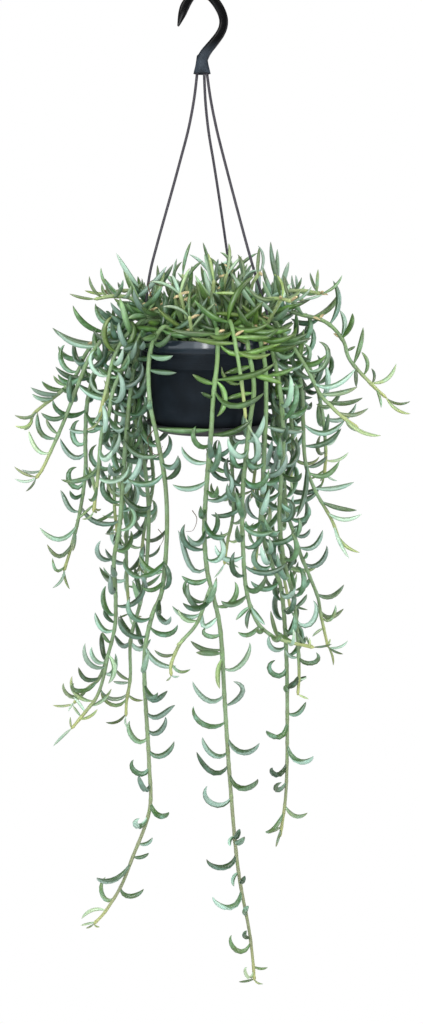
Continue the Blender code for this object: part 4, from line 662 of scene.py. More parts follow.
def strand_lines():
    """Each strand's name and its smooth line, from the bell down through the hole in the lip."""
    lines = {}
    for name, (azimuth, passes) in STRANDS.items():
        top = polar(azimuth, STRAND_TOP_CIRCLE)
        foot = polar(azimuth, STRAND_CIRCLE)
        start = [
            (BELL_X + top[0] * spread, top[1] * spread, height)
            for spread, height in ((1.0, BELL_CEILING - CLEAR), (STRAND_BELL_SPREAD, BELL_FOOT - 3.0))
        ]
        slanted = smooth_line(start + list(passes) + [(foot[0], foot[1], 9.0)], STRAND_STEP)
        lines[name] = np.vstack([slanted, (foot[0], foot[1], -WALL - CLEAR - STRAND_RADIUS)])
    return lines


def rise(root, crest, first):
    """Where a stem crosses the rim between its root and the first point of its route."""
    reach = math.hypot(first[0], first[1])
    over = 0.5 * (root[1] + min(reach, CREST_REACH))
    heading = math.degrees(math.atan2(first[1], first[0]))
    turn = (heading - root[0] + 180.0) % 360.0 - 180.0
    top = polar(root[0] + 0.6 * turn, max(over, root[1] + 6.0))
    return (top[0], top[1], crest)


def back_stem(k, azimuth, drop, reach):
    """A stem at the back: over the rim and down, swaying a little."""
    draw = random.Random(BACK_SEED + k)
    route = []
    steps = max(2, int(round(drop / BACK_STEP)))
    for n in range(steps + 1):
        share = n / steps
        sway = BACK_SWAY * math.sin(1.7 * n + k) * min(1.0, share * 3.0)
        distance = BACK_START + (reach - BACK_START) * share**0.8
        x, y = polar(azimuth + math.degrees(sway / distance), distance)
        route.append((x, y, -14.0 - (drop - 14.0) * share))
    root = (azimuth + draw.uniform(-4.0, 4.0), 40.0 + 14.0 * (k % 2))
    return Stem(f"stem_back_{k + 1}", root, 12 + 5 * (k % 3), tuple(route), ())


def shoot(k, azimuth, distance, height):
    """An upright shoot of the mound, leaning outwards."""
    draw = random.Random(SHOOT_SEED + k)
    lean = SHOOT_LEAN * (0.4 + distance / 60.0) * height
    side = draw.uniform(-8.0, 8.0)
    route = []
    for share, out in ((0.45, 0.3), (1.0, 1.0)):
        x, y = polar(azimuth, distance + lean * out)
        sx, sy = polar(azimuth + 90.0, side * share)
        route.append((x + sx, y + sy, SOIL_TOP + (height - SOIL_TOP) * share))
    return Stem(f"shoot_{k + 1:02d}", (azimuth, distance), None, tuple(route), ())


def spreading_shoot(k, azimuth, distance, reach, height):
    """A shoot that leans out over the rim and keeps its tip up."""
    route = []
    for share in (0.4, 0.7, 1.0):
        x, y = polar(azimuth + 4.0 * math.sin(2.0 * k + share), distance + (reach - distance) * share)
        route.append((x, y, height * math.sin(math.pi * (0.12 + 0.5 * share))))
    return Stem(f"shoot_{len(SHOOTS) + k + 1:02d}", (azimuth, distance), None, tuple(route), ())


def all_stems():
    """Every leafy stem of the plant."""
    stems = list(HANGING)
    stems += [back_stem(k, *facts) for k, facts in enumerate(BACK_STEMS)]
    stems += [shoot(k, *facts) for k, facts in enumerate(SHOOTS)]
    stems += [spreading_shoot(k, *facts) for k, facts in enumerate(SPREADING)]
    return stems


def near_wall(points):
    """How far each point is from the outer skin of the pot and saucer, and the way off it."""
    pot, saucer = np.array(pot_outline()), np.array(saucer_outline())
    starts = np.vstack([pot[:-1], saucer[:-1]])
    ends = np.vstack([pot[1:], saucer[1:]])
    radial = np.hypot(points[:, 0], points[:, 1])
    flat = np.stack([radial, points[:, 2]], axis=1)
    run = ends - starts
    share = ((flat[:, None] - starts) * run).sum(axis=2) / (run * run).sum(axis=1)
    off = flat[:, None] - (starts + np.clip(share, 0.0, 1.0)[..., None] * run)
    distance = np.linalg.norm(off, axis=2)
    nearest = distance.argmin(axis=1)
    rows = np.arange(len(points))
    distance = distance[rows, nearest]
    away = off[rows, nearest] / np.maximum(distance, 1e-6)[:, None]
    outward = points[:, :2] / np.maximum(radial, 1e-6)[:, None]
    return distance, np.column_stack([outward * away[:, :1], away[:, 1]])


def hanger_points():
    """Points along the strands, which stems and leaves keep off."""
    return np.vstack([smooth_line(line, 2.5) for line in strand_lines().values()])


def settle(lines, owners):
    """Moves stems apart where they come too close to each other, the strands, the pot or the soil."""
    strands = hanger_points()
    sizes = [len(line) for line in lines]
    owner = np.repeat(owners, sizes)
    points = np.vstack(lines)
    along = np.concatenate([np.arange(size) * STEM_STEP for size in sizes])
    loose = np.clip((along - 10.0) / 12.0, 0.0, 1.0)
    for _ in range(SETTLE_ROUNDS):
        push = np.zeros_like(points)
        tree = KDTree(len(points) + len(strands))
        for k, point in enumerate(points):
            tree.insert(point, k)
        for k, point in enumerate(strands):
            tree.insert(point, len(points) + k)
        tree.balance()
        for k, point in enumerate(points):
            for near, other, distance in tree.find_range(point, STEM_APART):
                stranger = other >= len(points) or owner[other] != owner[k]
                if stranger and distance > 1e-6:
                    push[k] += (point - np.array(near)) / distance * (STEM_APART - distance) * 0.5
        distance, away = near_wall(points)
        push += away * np.maximum(0.0, STEM_APART * 0.6 - distance)[:, None]
        inside = (np.hypot(points[:, 0], points[:, 1]) < LIP_RADIUS) & (along > 30.0)
        low = np.maximum(0.0, SOIL_TOP + SOIL_LUMP + 4.0 - points[:, 2]) * inside
        push[:, 2] += low * 0.5
        start = 0
        for size in sizes:
            piece = push[start : start + size]
            for _ in range(3):
                padded = np.vstack([piece[:1], piece, piece[-1:]])
                piece = (padded[:-2] + 2 * padded[1:-1] + padded[2:]) / 4
            push[start : start + size] = piece
            start += size
        points = points + push * loose[:, None]
    return np.split(points, np.cumsum(sizes)[:-1])


def thinned(line, tolerance, fixed):
    """The fewest of a line's points, with the fixed one, that keep it within the tolerance."""
    keep = {0, fixed, len(line) - 1}
    spans = [(0, fixed), (fixed, len(line) - 1)]
    while spans:
        a, b = spans.pop()
        if b - a < 2:
            continue
        run = line[b] - line[a]
        share = np.clip(((line[a + 1 : b] - line[a]) @ run) / max(run @ run, 1e-9), 0.0, 1.0)
        off = np.linalg.norm(line[a + 1 : b] - line[a] - share[:, None] * run, axis=1)
        if off.max() > tolerance:
            middle = a + 1 + int(off.argmax())
            keep.add(middle)
            spans += [(a, middle), (middle, b)]
    return line[sorted(keep)]


def stem_lines(stems):
    """Each stem's settled lines of few points, the main one first, and the same with all their points."""
    lines, owners = [], []
    for k, stem in enumerate(stems):
        x, y = polar(*stem.root)
        foot = soil_height(x, y) - STEM_HOLE_DEPTH + CLEAR
        hole = [(x, y, foot + STEM_STEP * n) for n in range(ROOT_POINTS)]
        over = [] if stem.crest is None else [rise(stem.root, stem.crest, stem.route[0])]
        lines.append(np.vstack([hole[:-1], smooth_line(hole[-1:] + over + list(stem.route), STEM_STEP)]))
        owners.append(k)
        for fork in stem.forks:
            lines.append(smooth_line(fork, STEM_STEP))
            owners.append(k)
    settled = settle(lines, owners)
    grouped = [[] for _ in stems]
    curves = [[] for _ in stems]
    for owner, line in zip(owners, settled):
        if grouped[owner]:
            main = evened(grouped[owner][0])
            nearest = np.linalg.norm(main - line[0], axis=1).argmin()
            line = line + (main[nearest] - line[0]) * np.linspace(1.0, 0.0, len(line))[:, None]
            grouped[owner].append(thinned(line, STEM_STRAIGHTNESS, 1))
        else:
            grouped[owner].append(thinned(line, STEM_STRAIGHTNESS, ROOT_POINTS - 1))
        curves[owner].append(line)
    return grouped, curves


def line_length(line):
    """The length of a line of points."""
    return float(np.linalg.norm(np.diff(line, axis=0), axis=1).sum())


def stem_radius(share, length):
    """A stem's radius at a share of its length. Short stems are thinner, and all taper late."""
    root = STEM_ROOT * (0.72 + 0.28 * min(1.0, length / LONG_STEM))
    return STEM_TIP + (root - STEM_TIP) * (1.0 - share**2)


def leaf_points(base, heading, start, finish, roll, length):
    """The leaf's middle line: it leaves the stem at one angle and bends up to the other."""
    level = Vector((math.cos(heading), math.sin(heading), 0.0))
    across = Vector((-level.y, level.x, 0.0))
    up = (Vector((0.0, 0.0, 1.0)) * math.cos(roll) + across * math.sin(roll)).normalized()
    place = Vector(base)
    points = [np.array(place)]
    for a, b in zip(LEAF_SHARES, LEAF_SHARES[1:]):
        angle = start + (finish - start) * (a + b) / 2
        place = place + (level * math.cos(angle) + up * math.sin(angle)) * (b - a) * length
        points.append(np.array(place))
    return np.array(points)


def leaf_samples(points, radius):
    """Points with radii along the leaf, for judging what it would touch."""
    share = np.linspace(0.0, 1.0, LEAF_SAMPLES)
    return points_at(share, LEAF_SHARES, points), np.interp(share, LEAF_SHARES, LEAF_GIRTHS) * radius


class Crowd:
    """Everything that a new leaf keeps clear of."""

    def __init__(self, stems, lines):
        self.box = None
        strands = hanger_points()
        self.points = [strands]
        self.radii = [np.full(len(strands), STRAND_RADIUS)]
        self.owner = [np.full(len(strands), -1)]
        for k in range(len(stems)):
            for line in lines[k]:
                even = evened(line)
                even = np.vstack([even, (even[1:] + even[:-1]) / 2])
                widest = stem_radius(0.3, line_length(line)) * STEM_FULLNESS
                self.add(even, np.full(len(even), widest), k)

    def add(self, points, radii, owner):
        self.points.append(points)
        self.radii.append(radii)
        self.owner.append(np.full(len(points), owner))

    def around(self, base, reach):
        points = np.vstack(self.points)
        near = np.abs(points - base).max(axis=1) < reach
        return points[near], np.concatenate(self.radii)[near], np.concatenate(self.owner)[near]

    def clear(self, base, owner, middle, radii, around):
        points, others, owners = around
        if self.box is not None and ((middle < self.box[0]).any() or (middle > self.box[1]).any()):
            return False
        distance, _ = near_wall(middle)
        if (distance < radii + LEAF_CLEAR).any():
            return False
        radial = np.hypot(middle[:, 0], middle[:, 1])
        if ((radial < RIM_RADIUS) & (middle[:, 2] - radii < SOIL_TOP + SOIL_LUMP + LEAF_CLEAR)).any():
            return False
        inside_wall = (radial < RIM_RADIUS - 1.0) & (middle[:, 2] < -1.0) & (radial + radii > LIP_RADIUS)
        if inside_wall.any():
            return False
        low, high = middle.min(axis=0) - LEAF_REACH, middle.max(axis=0) + LEAF_REACH
        near = ((points > low) & (points < high)).all(axis=1)
        points, others, owners = points[near], others[near], owners[near]
        gaps = np.linalg.norm(middle[:, None] - points, axis=2) - radii[:, None] - others
        from_base = np.linalg.norm(middle - base, axis=1)
        at_root = (from_base < 6.0)[:, None] & (owners == owner)
        gaps[at_root] = 9.0
        return bool((gaps > LEAF_CLEAR).all())


def leaf_habit(base, course, youth, draw):
    """How a leaf lies where it grows: its heading, if any, its start and finish angles and its size."""
    out = math.hypot(base[0], base[1])
    rising, sinking = max(0.0, course[2]), max(0.0, -course[2])
    start = math.radians(draw.uniform(-20.0, 12.0) - 32.0 * sinking**2)
    finish = math.radians(draw.uniform(34.0, 66.0) + 26.0 * sinking - 30.0 * youth**2)
    size = 1.02
    heading = None
    if rising > 0.5:
        start = math.radians(draw.uniform(5.0, 62.0))
        finish = start + math.radians(draw.uniform(-5.0, 38.0))
        size = 1.2
    elif LIP_RADIUS - 12.0 < out < RIM_RADIUS + 16.0 and -POT_HEIGHT < base[2] < 24.0:
        heading = math.atan2(base[1], base[0]) + math.pi / 2
        start = math.radians(draw.uniform(-40.0, 0.0))
        finish = math.radians(draw.uniform(5.0, 50.0))
        size = 1.0 if base[2] > -20.0 else 0.82
    return heading, start, finish, size


def leaf_slots(length, upright, first):
    """How far along a stem each leaf grows, counted from its tip. The first ones crown the tip."""
    slots = [length - place for place in TIP_CROWN]
    while slots[-1] > first:
        spacing = CROWDED_SPACING + (OPEN_SPACING - CROWDED_SPACING) * min(1.0, slots[-1] / OPEN_FROM)
        if length - slots[-1] < YOUNG_STRETCH:
            spacing = min(spacing, TIP_SPACING)
        slots.append(slots[-1] - (SHOOT_SPACING if upright else spacing))
    return slots[:-1]


def leaf_radius(length, youth):
    """A leaf's half width from its length. Young ones are slim."""
    return LEAF_RADIUS * (0.4 + 0.6 * min(1.0, length / LEAF_LENGTH)) * (1.0 - 0.25 * youth)


def set_places(stem, n, line):
    """The table's leaves on one line of a stem: how far along it the foot is, where, and the leaf's row."""
    rows = SET_LEAVES.get((stem.name, n), ())
    fine = evened(line, 1.0)
    crest = int(fine[:, 2].argmax())
    feet = [crest + int(np.abs(fine[crest:, 2] - row[0]).argmin()) for row in rows]
    step = line_length(line) / (len(fine) - 1)
    return [(foot * step, fine[foot], row) for foot, row in zip(feet, rows)]


def set_leaves(stems, lines, crowd):
    """The leaves of the table, each swung back or forth until it touches nothing."""
    leaves = []
    for k, stem in enumerate(stems):
        for n, line in enumerate(lines[k]):
            for place, base, (_, back, *bends) in set_places(stem, n, line):
                youth = max(0.0, 1.0 - (line_length(line) - place) / YOUNG_STRETCH)
                around = crowd.around(base, LEAF_NEAR)
                for swing in SET_SWINGS:
                    reach = (back + swing) / len(bends)
                    passed = [(right, reach * (m + 1), up) for m, (right, up) in enumerate(bends)]
                    bent = np.array([(0.0, 0.0, 0.0)] + passed) + base
                    curve = smooth_line(bent, 1.0)
                    points = points_at(LEAF_SHARES, np.linspace(0.0, 1.0, len(curve)), curve)
                    radius = leaf_radius(line_length(curve) * BEND_STRETCH, youth)
                    middle, radii = leaf_samples(points, radius)
                    if crowd.clear(base, k, middle, radii, around):
                        crowd.add(middle, radii, k)
                        leaves.append(Leaf(k, 0, bent, radius))
                        break
    return leaves


def free_slots(stem, n, line):
    """The places on a line for leaves that aren't in the table, each with its number from the tip."""
    length = line_length(line)
    taken = sorted(place for place, _, _ in set_places(stem, n, line))
    closed = [(a - SET_ROOM, b + SET_ROOM) for a, b in zip(taken, taken[1:]) if b - a < SET_GAP]
    if taken and length - taken[-1] < SET_GAP:
        closed.append((taken[-1] - SET_ROOM, length))
    first = 7.0 if n else STEM_HOLE_DEPTH + 14.0
    slots = enumerate(leaf_slots(length, stem.crest is None, first))
    return [(slot, place) for slot, place in slots if not any(a <= place <= b for a, b in closed)]


def grow_leaves(stems, lines, crowd, wanted, tries):
    """The leaves in the wanted slots of all stems, each turned and sized until it touches nothing."""
    jobs = []
    for k, stem in enumerate(stems):
        for n, line in enumerate(lines[k]):
            length = line_length(line)
            jobs += [(slot, k, n, place, length) for slot, place in free_slots(stem, n, line) if wanted(slot)]
    jobs.sort()
    even = [[evened(line) for line in group] for group in lines]
    leaves = []
    for slot, k, n, place, length in jobs:
        line = even[k][n]
        draw = random.Random(LEAF_SEED + STEM_STRIDE * k + LINE_STRIDE * n + slot)
        step = length / (len(line) - 1)
        at = min(len(line) - 2, int(place / step))
        base = line[at] + (line[at + 1] - line[at]) * (place / step - at)
        course = line[min(at + 3, len(line) - 1)] - line[max(at - 3, 0)]
        course = course / np.linalg.norm(course)
        youth = max(0.0, 1.0 - (length - place) / YOUNG_STRETCH)
        around = crowd.around(base, LEAF_NEAR)
        along_rim, start, finish, size = leaf_habit(base, course, youth, draw)
        turn = math.pi * slot + (along_rim if along_rim else math.radians(11.0) * slot + 0.9 * math.sin(k))
        turn += draw.uniform(-LEAF_WANDER, LEAF_WANDER)
        if slot < len(TIP_CROWN):
            turn = math.atan2(course[1], course[0]) + math.radians(130.0) * slot
            start = math.asin(course[2]) + math.radians(CROWN_RISES[slot])
            finish = start + math.radians(draw.uniform(20.0, 70.0))
            size *= CROWN_SIZES[slot] if stems[k].crest is not None else 1.0
        upright = stems[k].crest is None
        finer = crowd.box is not None
        if finer and bare(base, upright, draw):
            continue
        if finer and not upright and along_rim is None and slot >= len(TIP_CROWN):
            turn, start, finish = looser(turn, start, finish, draw)
        for attempt in range(tries):
            swing = math.radians(SWING_STEP) * ((attempt + 1) // 2) * (-1) ** attempt
            heading = turn + swing + draw.uniform(-0.3, 0.3) * (slot > 0)
            rise_from = start + draw.uniform(-0.25, 0.25)
            rise_to = finish + draw.uniform(-0.4, 0.4)
            shrink = 1.0 - 0.35 * attempt / tries
            reach = LEAF_LENGTH * size * draw.uniform(0.84, 1.14) * (1.0 - 0.42 * youth) * shrink
            radius = leaf_radius(reach, youth)
            roll = draw.uniform(-0.3, 0.3)
            points = leaf_points(base, heading, rise_from, rise_to, roll, reach)
            middle, radii = leaf_samples(points, radius)
            if crowd.clear(base, k, middle, radii, around):
                crowd.add(middle, radii, k)
                leaves.append(Leaf(k, slot, points, radius))
                break
    return leaves


PLAIN_LIFE = (0.5, 0.0, 0.0)


class Skin:
    """Collects the points and faces of one piece, with its two marks: skin and life.

    skin is the place on a stem or leaf: across, towards its hollow side, and the share along it.
    life is what makes each one differ: tone, youth and how bright its green is.
    """

    def __init__(self):
        self.points, self.faces, self.finish, self.skin, self.life = [], [], [], [], []
        self.count = 0

    def add_points(self, points, skin=None, life=PLAIN_LIFE):
        first = self.count
        points = np.asarray(points, float).reshape(-1, 3)
        self.points.append(points)
        self.skin.append(np.zeros_like(points) if skin is None else np.asarray(skin, float).reshape(-1, 3))
        self.life.append(np.broadcast_to(np.asarray(life, float), points.shape))
        self.count += len(points)
        return first

    def add_faces(self, faces, finish=0):
        self.faces += [tuple(face) for face in faces]
        self.finish += [finish] * len(faces)

    def join_rings(self, first, rings, sides, finish=0, closed=False):
        """Joins rings of points that follow each other, as a tube does."""
        for a in range(rings if closed else rings - 1):
            b = (a + 1) % rings
            low, high = first + a * sides, first + b * sides
            self.add_faces(
                [(low + n, low + (n + 1) % sides, high + (n + 1) % sides, high + n) for n in range(sides)],
                finish
            )

    def close_end(self, ring, sides, forward, finish=0):
        face = [ring + n for n in range(sides)]
        self.add_faces([face if forward else face[::-1]], finish)

    def close_cone(self, ring, sides, point, finish=0):
        """Joins a ring to the point that its faces turn away from."""
        self.add_faces([(ring + n, ring + (n + 1) % sides, point) for n in range(sides)], finish)

    def build(self, name, finishes, crease=None):
        """The piece as an object in the world's place, with all its faces smooth but for sharp edges."""
        points = np.vstack(self.points) + (SEAT_LEFT_OF_AXIS, 0.0, -SEAT_ABOVE_RIM)
        mesh = bpy.data.meshes.new(name)
        mesh.from_pydata((points * MM).tolist(), [], self.faces)
        for finish in finishes:
            mesh.materials.append(finish)
        mesh.polygons.foreach_set("material_index", self.finish)
        mesh.polygons.foreach_set("use_smooth", [True] * len(self.faces))
        for mark, values in (("skin", self.skin), ("life", self.life)):
            attribute = mesh.attributes.new(mark, "FLOAT_VECTOR", "POINT")
            attribute.data.foreach_set("vector", np.vstack(values).astype(np.float32).ravel())
        mesh.update()
        obj = bpy.data.objects.new(name, mesh)
        bpy.context.scene.collection.objects.link(obj)
        if crease:
            set_creases(obj, crease)
        return obj


def set_creases(obj, degrees):
    """Turns the faces outwards and keeps edges sharper than the angle crisp."""
    shape = bmesh.new()
    shape.from_mesh(obj.data)
    bmesh.ops.recalc_face_normals(shape, faces=shape.faces)
    limit = math.radians(degrees)
    for edge in shape.edges:
        edge.smooth = not (len(edge.link_faces) == 2 and edge.calc_face_angle(0.0) > limit)
    for face in shape.faces:
        face.smooth = True
    shape.to_mesh(obj.data)
    shape.free()


def put_in_place(obj, slot, *nodes):
    """Hides the solids that the piece stands for, and makes it ride on the body. The slot is not used."""
    if nodes:
        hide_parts(*nodes)
    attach(obj, "root")


def frames_along(points):
    """Two directions across a line at each of its points, which never twist suddenly."""
    courses = np.gradient(points, axis=0)
    courses /= np.linalg.norm(courses, axis=1)[:, None]
    side = np.cross(courses[0], (0.0, 0.0, 1.0))
    if np.linalg.norm(side) < 0.2:
        side = np.cross(courses[0], (0.0, 1.0, 0.0))
    sides = []
    for course in courses:
        side = side - course * (side @ course)
        side = side / np.linalg.norm(side)
        sides.append(side)
    sides = np.array(sides)
    return sides, np.cross(courses, sides)


def circle(sides):
    """The cosines and sines of even steps round a circle."""
    angles = 2.0 * np.pi * np.arange(sides) / sides
    return np.cos(angles), np.sin(angles)


def squared(sides, power):
    """A circle pressed towards a rectangle, as (across, up)."""
    cosine, sine = circle(sides)
    return np.sign(cosine) * np.abs(cosine) ** (2.0 / power), np.sign(sine) * np.abs(sine) ** (2.0 / power)


def add_bar(skin, points, radii, sides, life=PLAIN_LIFE, finish=0, section=None, flatness=1.0):
    """A closed bar along the points, with a radius at each."""
    across, up = frames_along(points)
    cosine, sine = section or circle(sides)
    offsets = across[:, None] * cosine[:, None] + up[:, None] * sine[:, None] * flatness
    rings = points[:, None] + offsets * np.asarray(radii)[:, None, None]
    share = np.linspace(0.0, 1.0, len(points))
    marks = np.stack(np.broadcast_arrays(cosine, sine, share[:, None]), axis=2)
    first = skin.add_points(rings, marks, life)
    skin.join_rings(first, len(points), sides, finish)
    skin.close_end(first, sides, False, finish)
    skin.close_end(first + (len(points) - 1) * sides, sides, True, finish)


def add_turned(skin, profile, steps, finish=0, closed=True, centre=(0.0, 0.0), stretch=None):
    """A profile of (radius, height) turned round an upright axis. An open one starts and ends on it."""
    cosine, sine = circle(steps)
    rows = profile if closed else profile[1:-1]
    rings = []
    for radius, height in rows:
        radii = np.full(steps, radius) if stretch is None else stretch(radius, height, cosine)
        ring = (centre[0] + radii * cosine, centre[1] + radii * sine, np.full(steps, height))
        rings.append(np.stack(ring, axis=1))
    first = skin.add_points(np.array(rings))
    skin.join_rings(first, len(rows), steps, finish, closed)
    if not closed:
        for row, (radius, height) in ((0, profile[0]), (len(rows) - 1, profile[-1])):
            pole = skin.add_points([(centre[0], centre[1], height)])
            ring = first + row * steps
            skin.add_faces([(pole, ring + n, ring + (n + 1) % steps) for n in range(steps)], finish)


def cut_holes(obj, holes, sides):
    """Cuts plain upright holes, given as (x, y, radius, low, high)."""
    cutter = Skin()
    for x, y, radius, low, high in holes:
        profile = [(0.0, low), (radius, low), (radius, high), (0.0, high)]
        add_turned(cutter, profile, sides, closed=False, centre=(x, y))
    tool = cutter.build("hole_cutter", [])
    set_creases(tool, 30.0)
    combine(obj, tool, "DIFFERENCE")


def combine(obj, other, operation):
    """Cuts the other object out of the first one, or joins it on. The other is then removed."""
    step = obj.modifiers.new("combine", "BOOLEAN")
    step.operation = operation
    step.object = other
    step.solver = "EXACT"
    bpy.context.view_layer.update()
    evaluated = obj.evaluated_get(bpy.context.evaluated_depsgraph_get())
    mesh = bpy.data.meshes.new_from_object(evaluated)
    obj.modifiers.clear()
    obj.data = mesh
    bpy.data.objects.remove(other)


class Nodes:
    """The nodes of a material or of the world."""

    def __init__(self, owner):
        owner.use_nodes = True
        self.tree = owner.node_tree

    def add(self, kind, inputs=(), **choices):
        node = self.tree.nodes.new(kind)
        for choice, value in choices.items():
            setattr(node, choice, value)
        for socket, value in inputs:
            self.feed(node.inputs[socket], value)
        return node

    def feed(self, socket, value):
        if isinstance(value, bpy.types.NodeSocket):
            self.tree.links.new(value, socket)
        else:
            socket.default_value = value

    def choose(self, share, first, second):
        """One shader or another, by a share that may be a kind of ray."""
        return self.add("ShaderNodeMixShader", ((0, share), (1, first), (2, second))).outputs[0]


class Finish(Nodes):
    """One material, built up in nodes on a single shader."""

    def __init__(self, name, **plain):
        self.material = bpy.data.materials.new(name)
        super().__init__(self.material)
        self.shader = self.tree.nodes["Principled BSDF"]
        self.set(**plain)

    def place(self, stretch=(1.0, 1.0, 1.0)):
        """Where a point of the piece is, in metres, stretched if asked."""
        spot = self.add("ShaderNodeTexCoord").outputs["Object"]
        return self.add("ShaderNodeMapping", (("Vector", spot), ("Scale", stretch))).outputs["Vector"]

    def mark(self, name):
        """The three values of one of the mesh's marks."""
        spot = self.add("ShaderNodeAttribute", attribute_name=name).outputs["Vector"]
        return self.add("ShaderNodeSeparateXYZ", (("Vector", spot),)).outputs

    def grain(self, scale, detail=3.0, where=None, rough=0.55):
        """Cloudy noise with features about one part in `scale` of a metre."""
        where = where or self.place()
        inputs = (("Vector", where), ("Scale", scale), ("Detail", detail), ("Roughness", rough))
        return self.add("ShaderNodeTexNoise", inputs).outputs["Fac"]

    def cells(self, scale):
        """Rounded lumps about one part in `scale` of a metre wide."""
        inputs = (("Vector", self.place()), ("Scale", scale))
        return self.add("ShaderNodeTexVoronoi", inputs).outputs["Distance"]

    def height(self):
        """How high a point is, in metres from the hook's seat."""
        return self.add("ShaderNodeSeparateXYZ", (("Vector", self.place()),)).outputs["Z"]

    def join(self, *values):
        """Three values as one vector."""
        return self.add("ShaderNodeCombineXYZ", enumerate(values)).outputs[0]

    def ramp(self, value, *stops):
        """A run of colours along a value."""
        node = self.add("ShaderNodeValToRGB", (("Fac", value),))
        band = node.color_ramp.elements
        while len(band) < len(stops):
            band.new(0.5)
        for element, (place, colour) in zip(band, stops):
            element.position = place
            element.color = tuple(colour)[:3] + (1.0,)
        return node.outputs["Color"]

    def mix(self, share, first, second, blend="MIX"):
        """One colour laid over another."""
        inputs = ((0, share), (6, first), (7, second))
        return self.add("ShaderNodeMix", inputs, data_type="RGBA", blend_type=blend).outputs[2]

    def blend(self, share, low, high):
        """A plain number between two others."""
        return self.add("ShaderNodeMix", ((0, share), (2, low), (3, high)), data_type="FLOAT").outputs[0]

    def maths(self, operation, *values):
        """The outcome of one step of arithmetic."""
        return self.add("ShaderNodeMath", enumerate(values), operation=operation).outputs[0]

    def times(self, first, second):
        return self.maths("MULTIPLY", first, second)

    def span(self, value, low, high, to_low=0.0, to_high=1.0):
        """The value's place between two limits, eased at both."""
        inputs = enumerate((value, low, high, to_low, to_high))
        return self.add("ShaderNodeMapRange", inputs, interpolation_type="SMOOTHSTEP").outputs["Result"]

    def relief(self, *layers):
        """Stacks bumps, each given as (height, strength, distance)."""
        normal = None
        for height, strength, distance in layers:
            inputs = [("Height", height), ("Strength", strength), ("Distance", distance)]
            if normal:
                inputs.append(("Normal", normal))
            normal = self.add("ShaderNodeBump", inputs).outputs["Normal"]
        self.feed(self.shader.inputs["Normal"], normal)

    def set(self, **inputs):
        """Sets the shader's own inputs, and gives back the finished material."""
        for socket, value in inputs.items():
            self.feed(self.shader.inputs[socket.replace("_", " ")], value)
        return self.material


def shade(colour, strength, warmth=0.0):
    """A colour made lighter or darker, and warmer or cooler."""
    red, green, blue = colour[0], colour[1], colour[2]
    return (red * strength * (1.0 + warmth), green * strength, blue * strength * (1.0 - warmth), 1.0)


def pot_plastic(colour):
    """Moulded charcoal plastic: the rim band is glossy and painted lighter and bluer, a painted reflection;
    the wall below it is satin with fine flow lines.
    """
    finish = Finish("pot_plastic", Metallic=0.0)
    height = finish.height()
    band_foot, pot_foot = -SEAT_ABOVE_RIM - RIM_BAND, -SEAT_ABOVE_RIM - POT_HEIGHT
    band = finish.span(height, (band_foot - 1.0) * MM, (band_foot + 1.5) * MM)
    foot = finish.span(height, (pot_foot + 20.0) * MM, pot_foot * MM)
    cloud = finish.grain(38.0, 4.0)
    lines = finish.grain(30.0, 3.0, finish.place((1.0, 1.0, 60.0)))
    speck = finish.grain(2600.0, 2.0)
    dust = finish.times(finish.span(cloud, 0.5, 0.75), finish.span(lines, 0.45, 0.7))
    body = finish.mix(finish.span(cloud, 0.3, 0.7), shade(colour, 0.8), shade(colour, 1.2, -0.04))
    # Painted reflection: the rim band's colour is made lighter and bluer, standing in for the room's bluish
    # reflection in its gloss.
    body = finish.mix(band, body, shade(colour, 1.7, -0.08))
    dusty = finish.mix(finish.times(dust, 0.12), body, (0.07, 0.075, 0.08, 1.0))
    soiled = finish.mix(finish.times(foot, 0.25), dusty, (0.035, 0.028, 0.024, 1.0))
    satin = finish.span(cloud, 0.25, 0.75, 0.50, 0.62)
    gloss = finish.span(cloud, 0.25, 0.75, 0.12, 0.17)
    finish.relief((lines, 0.08, 0.0002), (speck, 0.05, 0.00005))
    shine = finish.blend(band, 0.08, 0.52)
    return finish.set(Base_Color=soiled, Roughness=finish.blend(band, satin, gloss), Specular_IOR_Level=shine)


def saucer_plastic(colour):
    """Satin plastic with pale stains left by dried water."""
    finish = Finish("saucer_plastic", Metallic=0.0)
    cloud = finish.grain(45.0, 4.0)
    stain = finish.grain(14.0, 5.0, rough=0.7)
    body = finish.mix(finish.span(cloud, 0.3, 0.7), shade(colour, 0.8), shade(colour, 1.25))
    ring = finish.times(finish.span(stain, 0.55, 0.72), 0.30)
    stained = finish.mix(ring, body, (0.11, 0.10, 0.09, 1.0))
    finish.relief((finish.grain(2200.0, 2.0), 0.10, 0.00005))
    return finish.set(Base_Color=stained, Roughness=finish.span(cloud, 0.2, 0.8, 0.26, 0.42))


def hook_plastic(black, slate):
    """Glossy black plastic with fine handling marks, which turns to dull slate at the bell."""
    finish = Finish("hook_plastic", Metallic=0.0, Specular_IOR_Level=0.14)
    cloud = finish.grain(160.0, 4.0)
    height = finish.height()
    wavy = finish.maths("ADD", height, finish.times(cloud, 0.004))
    bell = finish.span(wavy, (316.0 - SEAT_ABOVE_RIM) * MM, (292.0 - SEAT_ABOVE_RIM) * MM)
    worn = finish.mix(finish.span(finish.grain(70.0, 3.0), 0.4, 0.65), shade(slate, 1.25), shade(slate, 0.62))
    body = finish.mix(bell, finish.mix(cloud, shade(black, 0.7), shade(black, 1.3)), worn)
    finish.relief((finish.grain(1800.0, 2.0), 0.05, 0.00005))
    return finish.set(Base_Color=body, Roughness=finish.blend(bell, 0.24, 0.5))


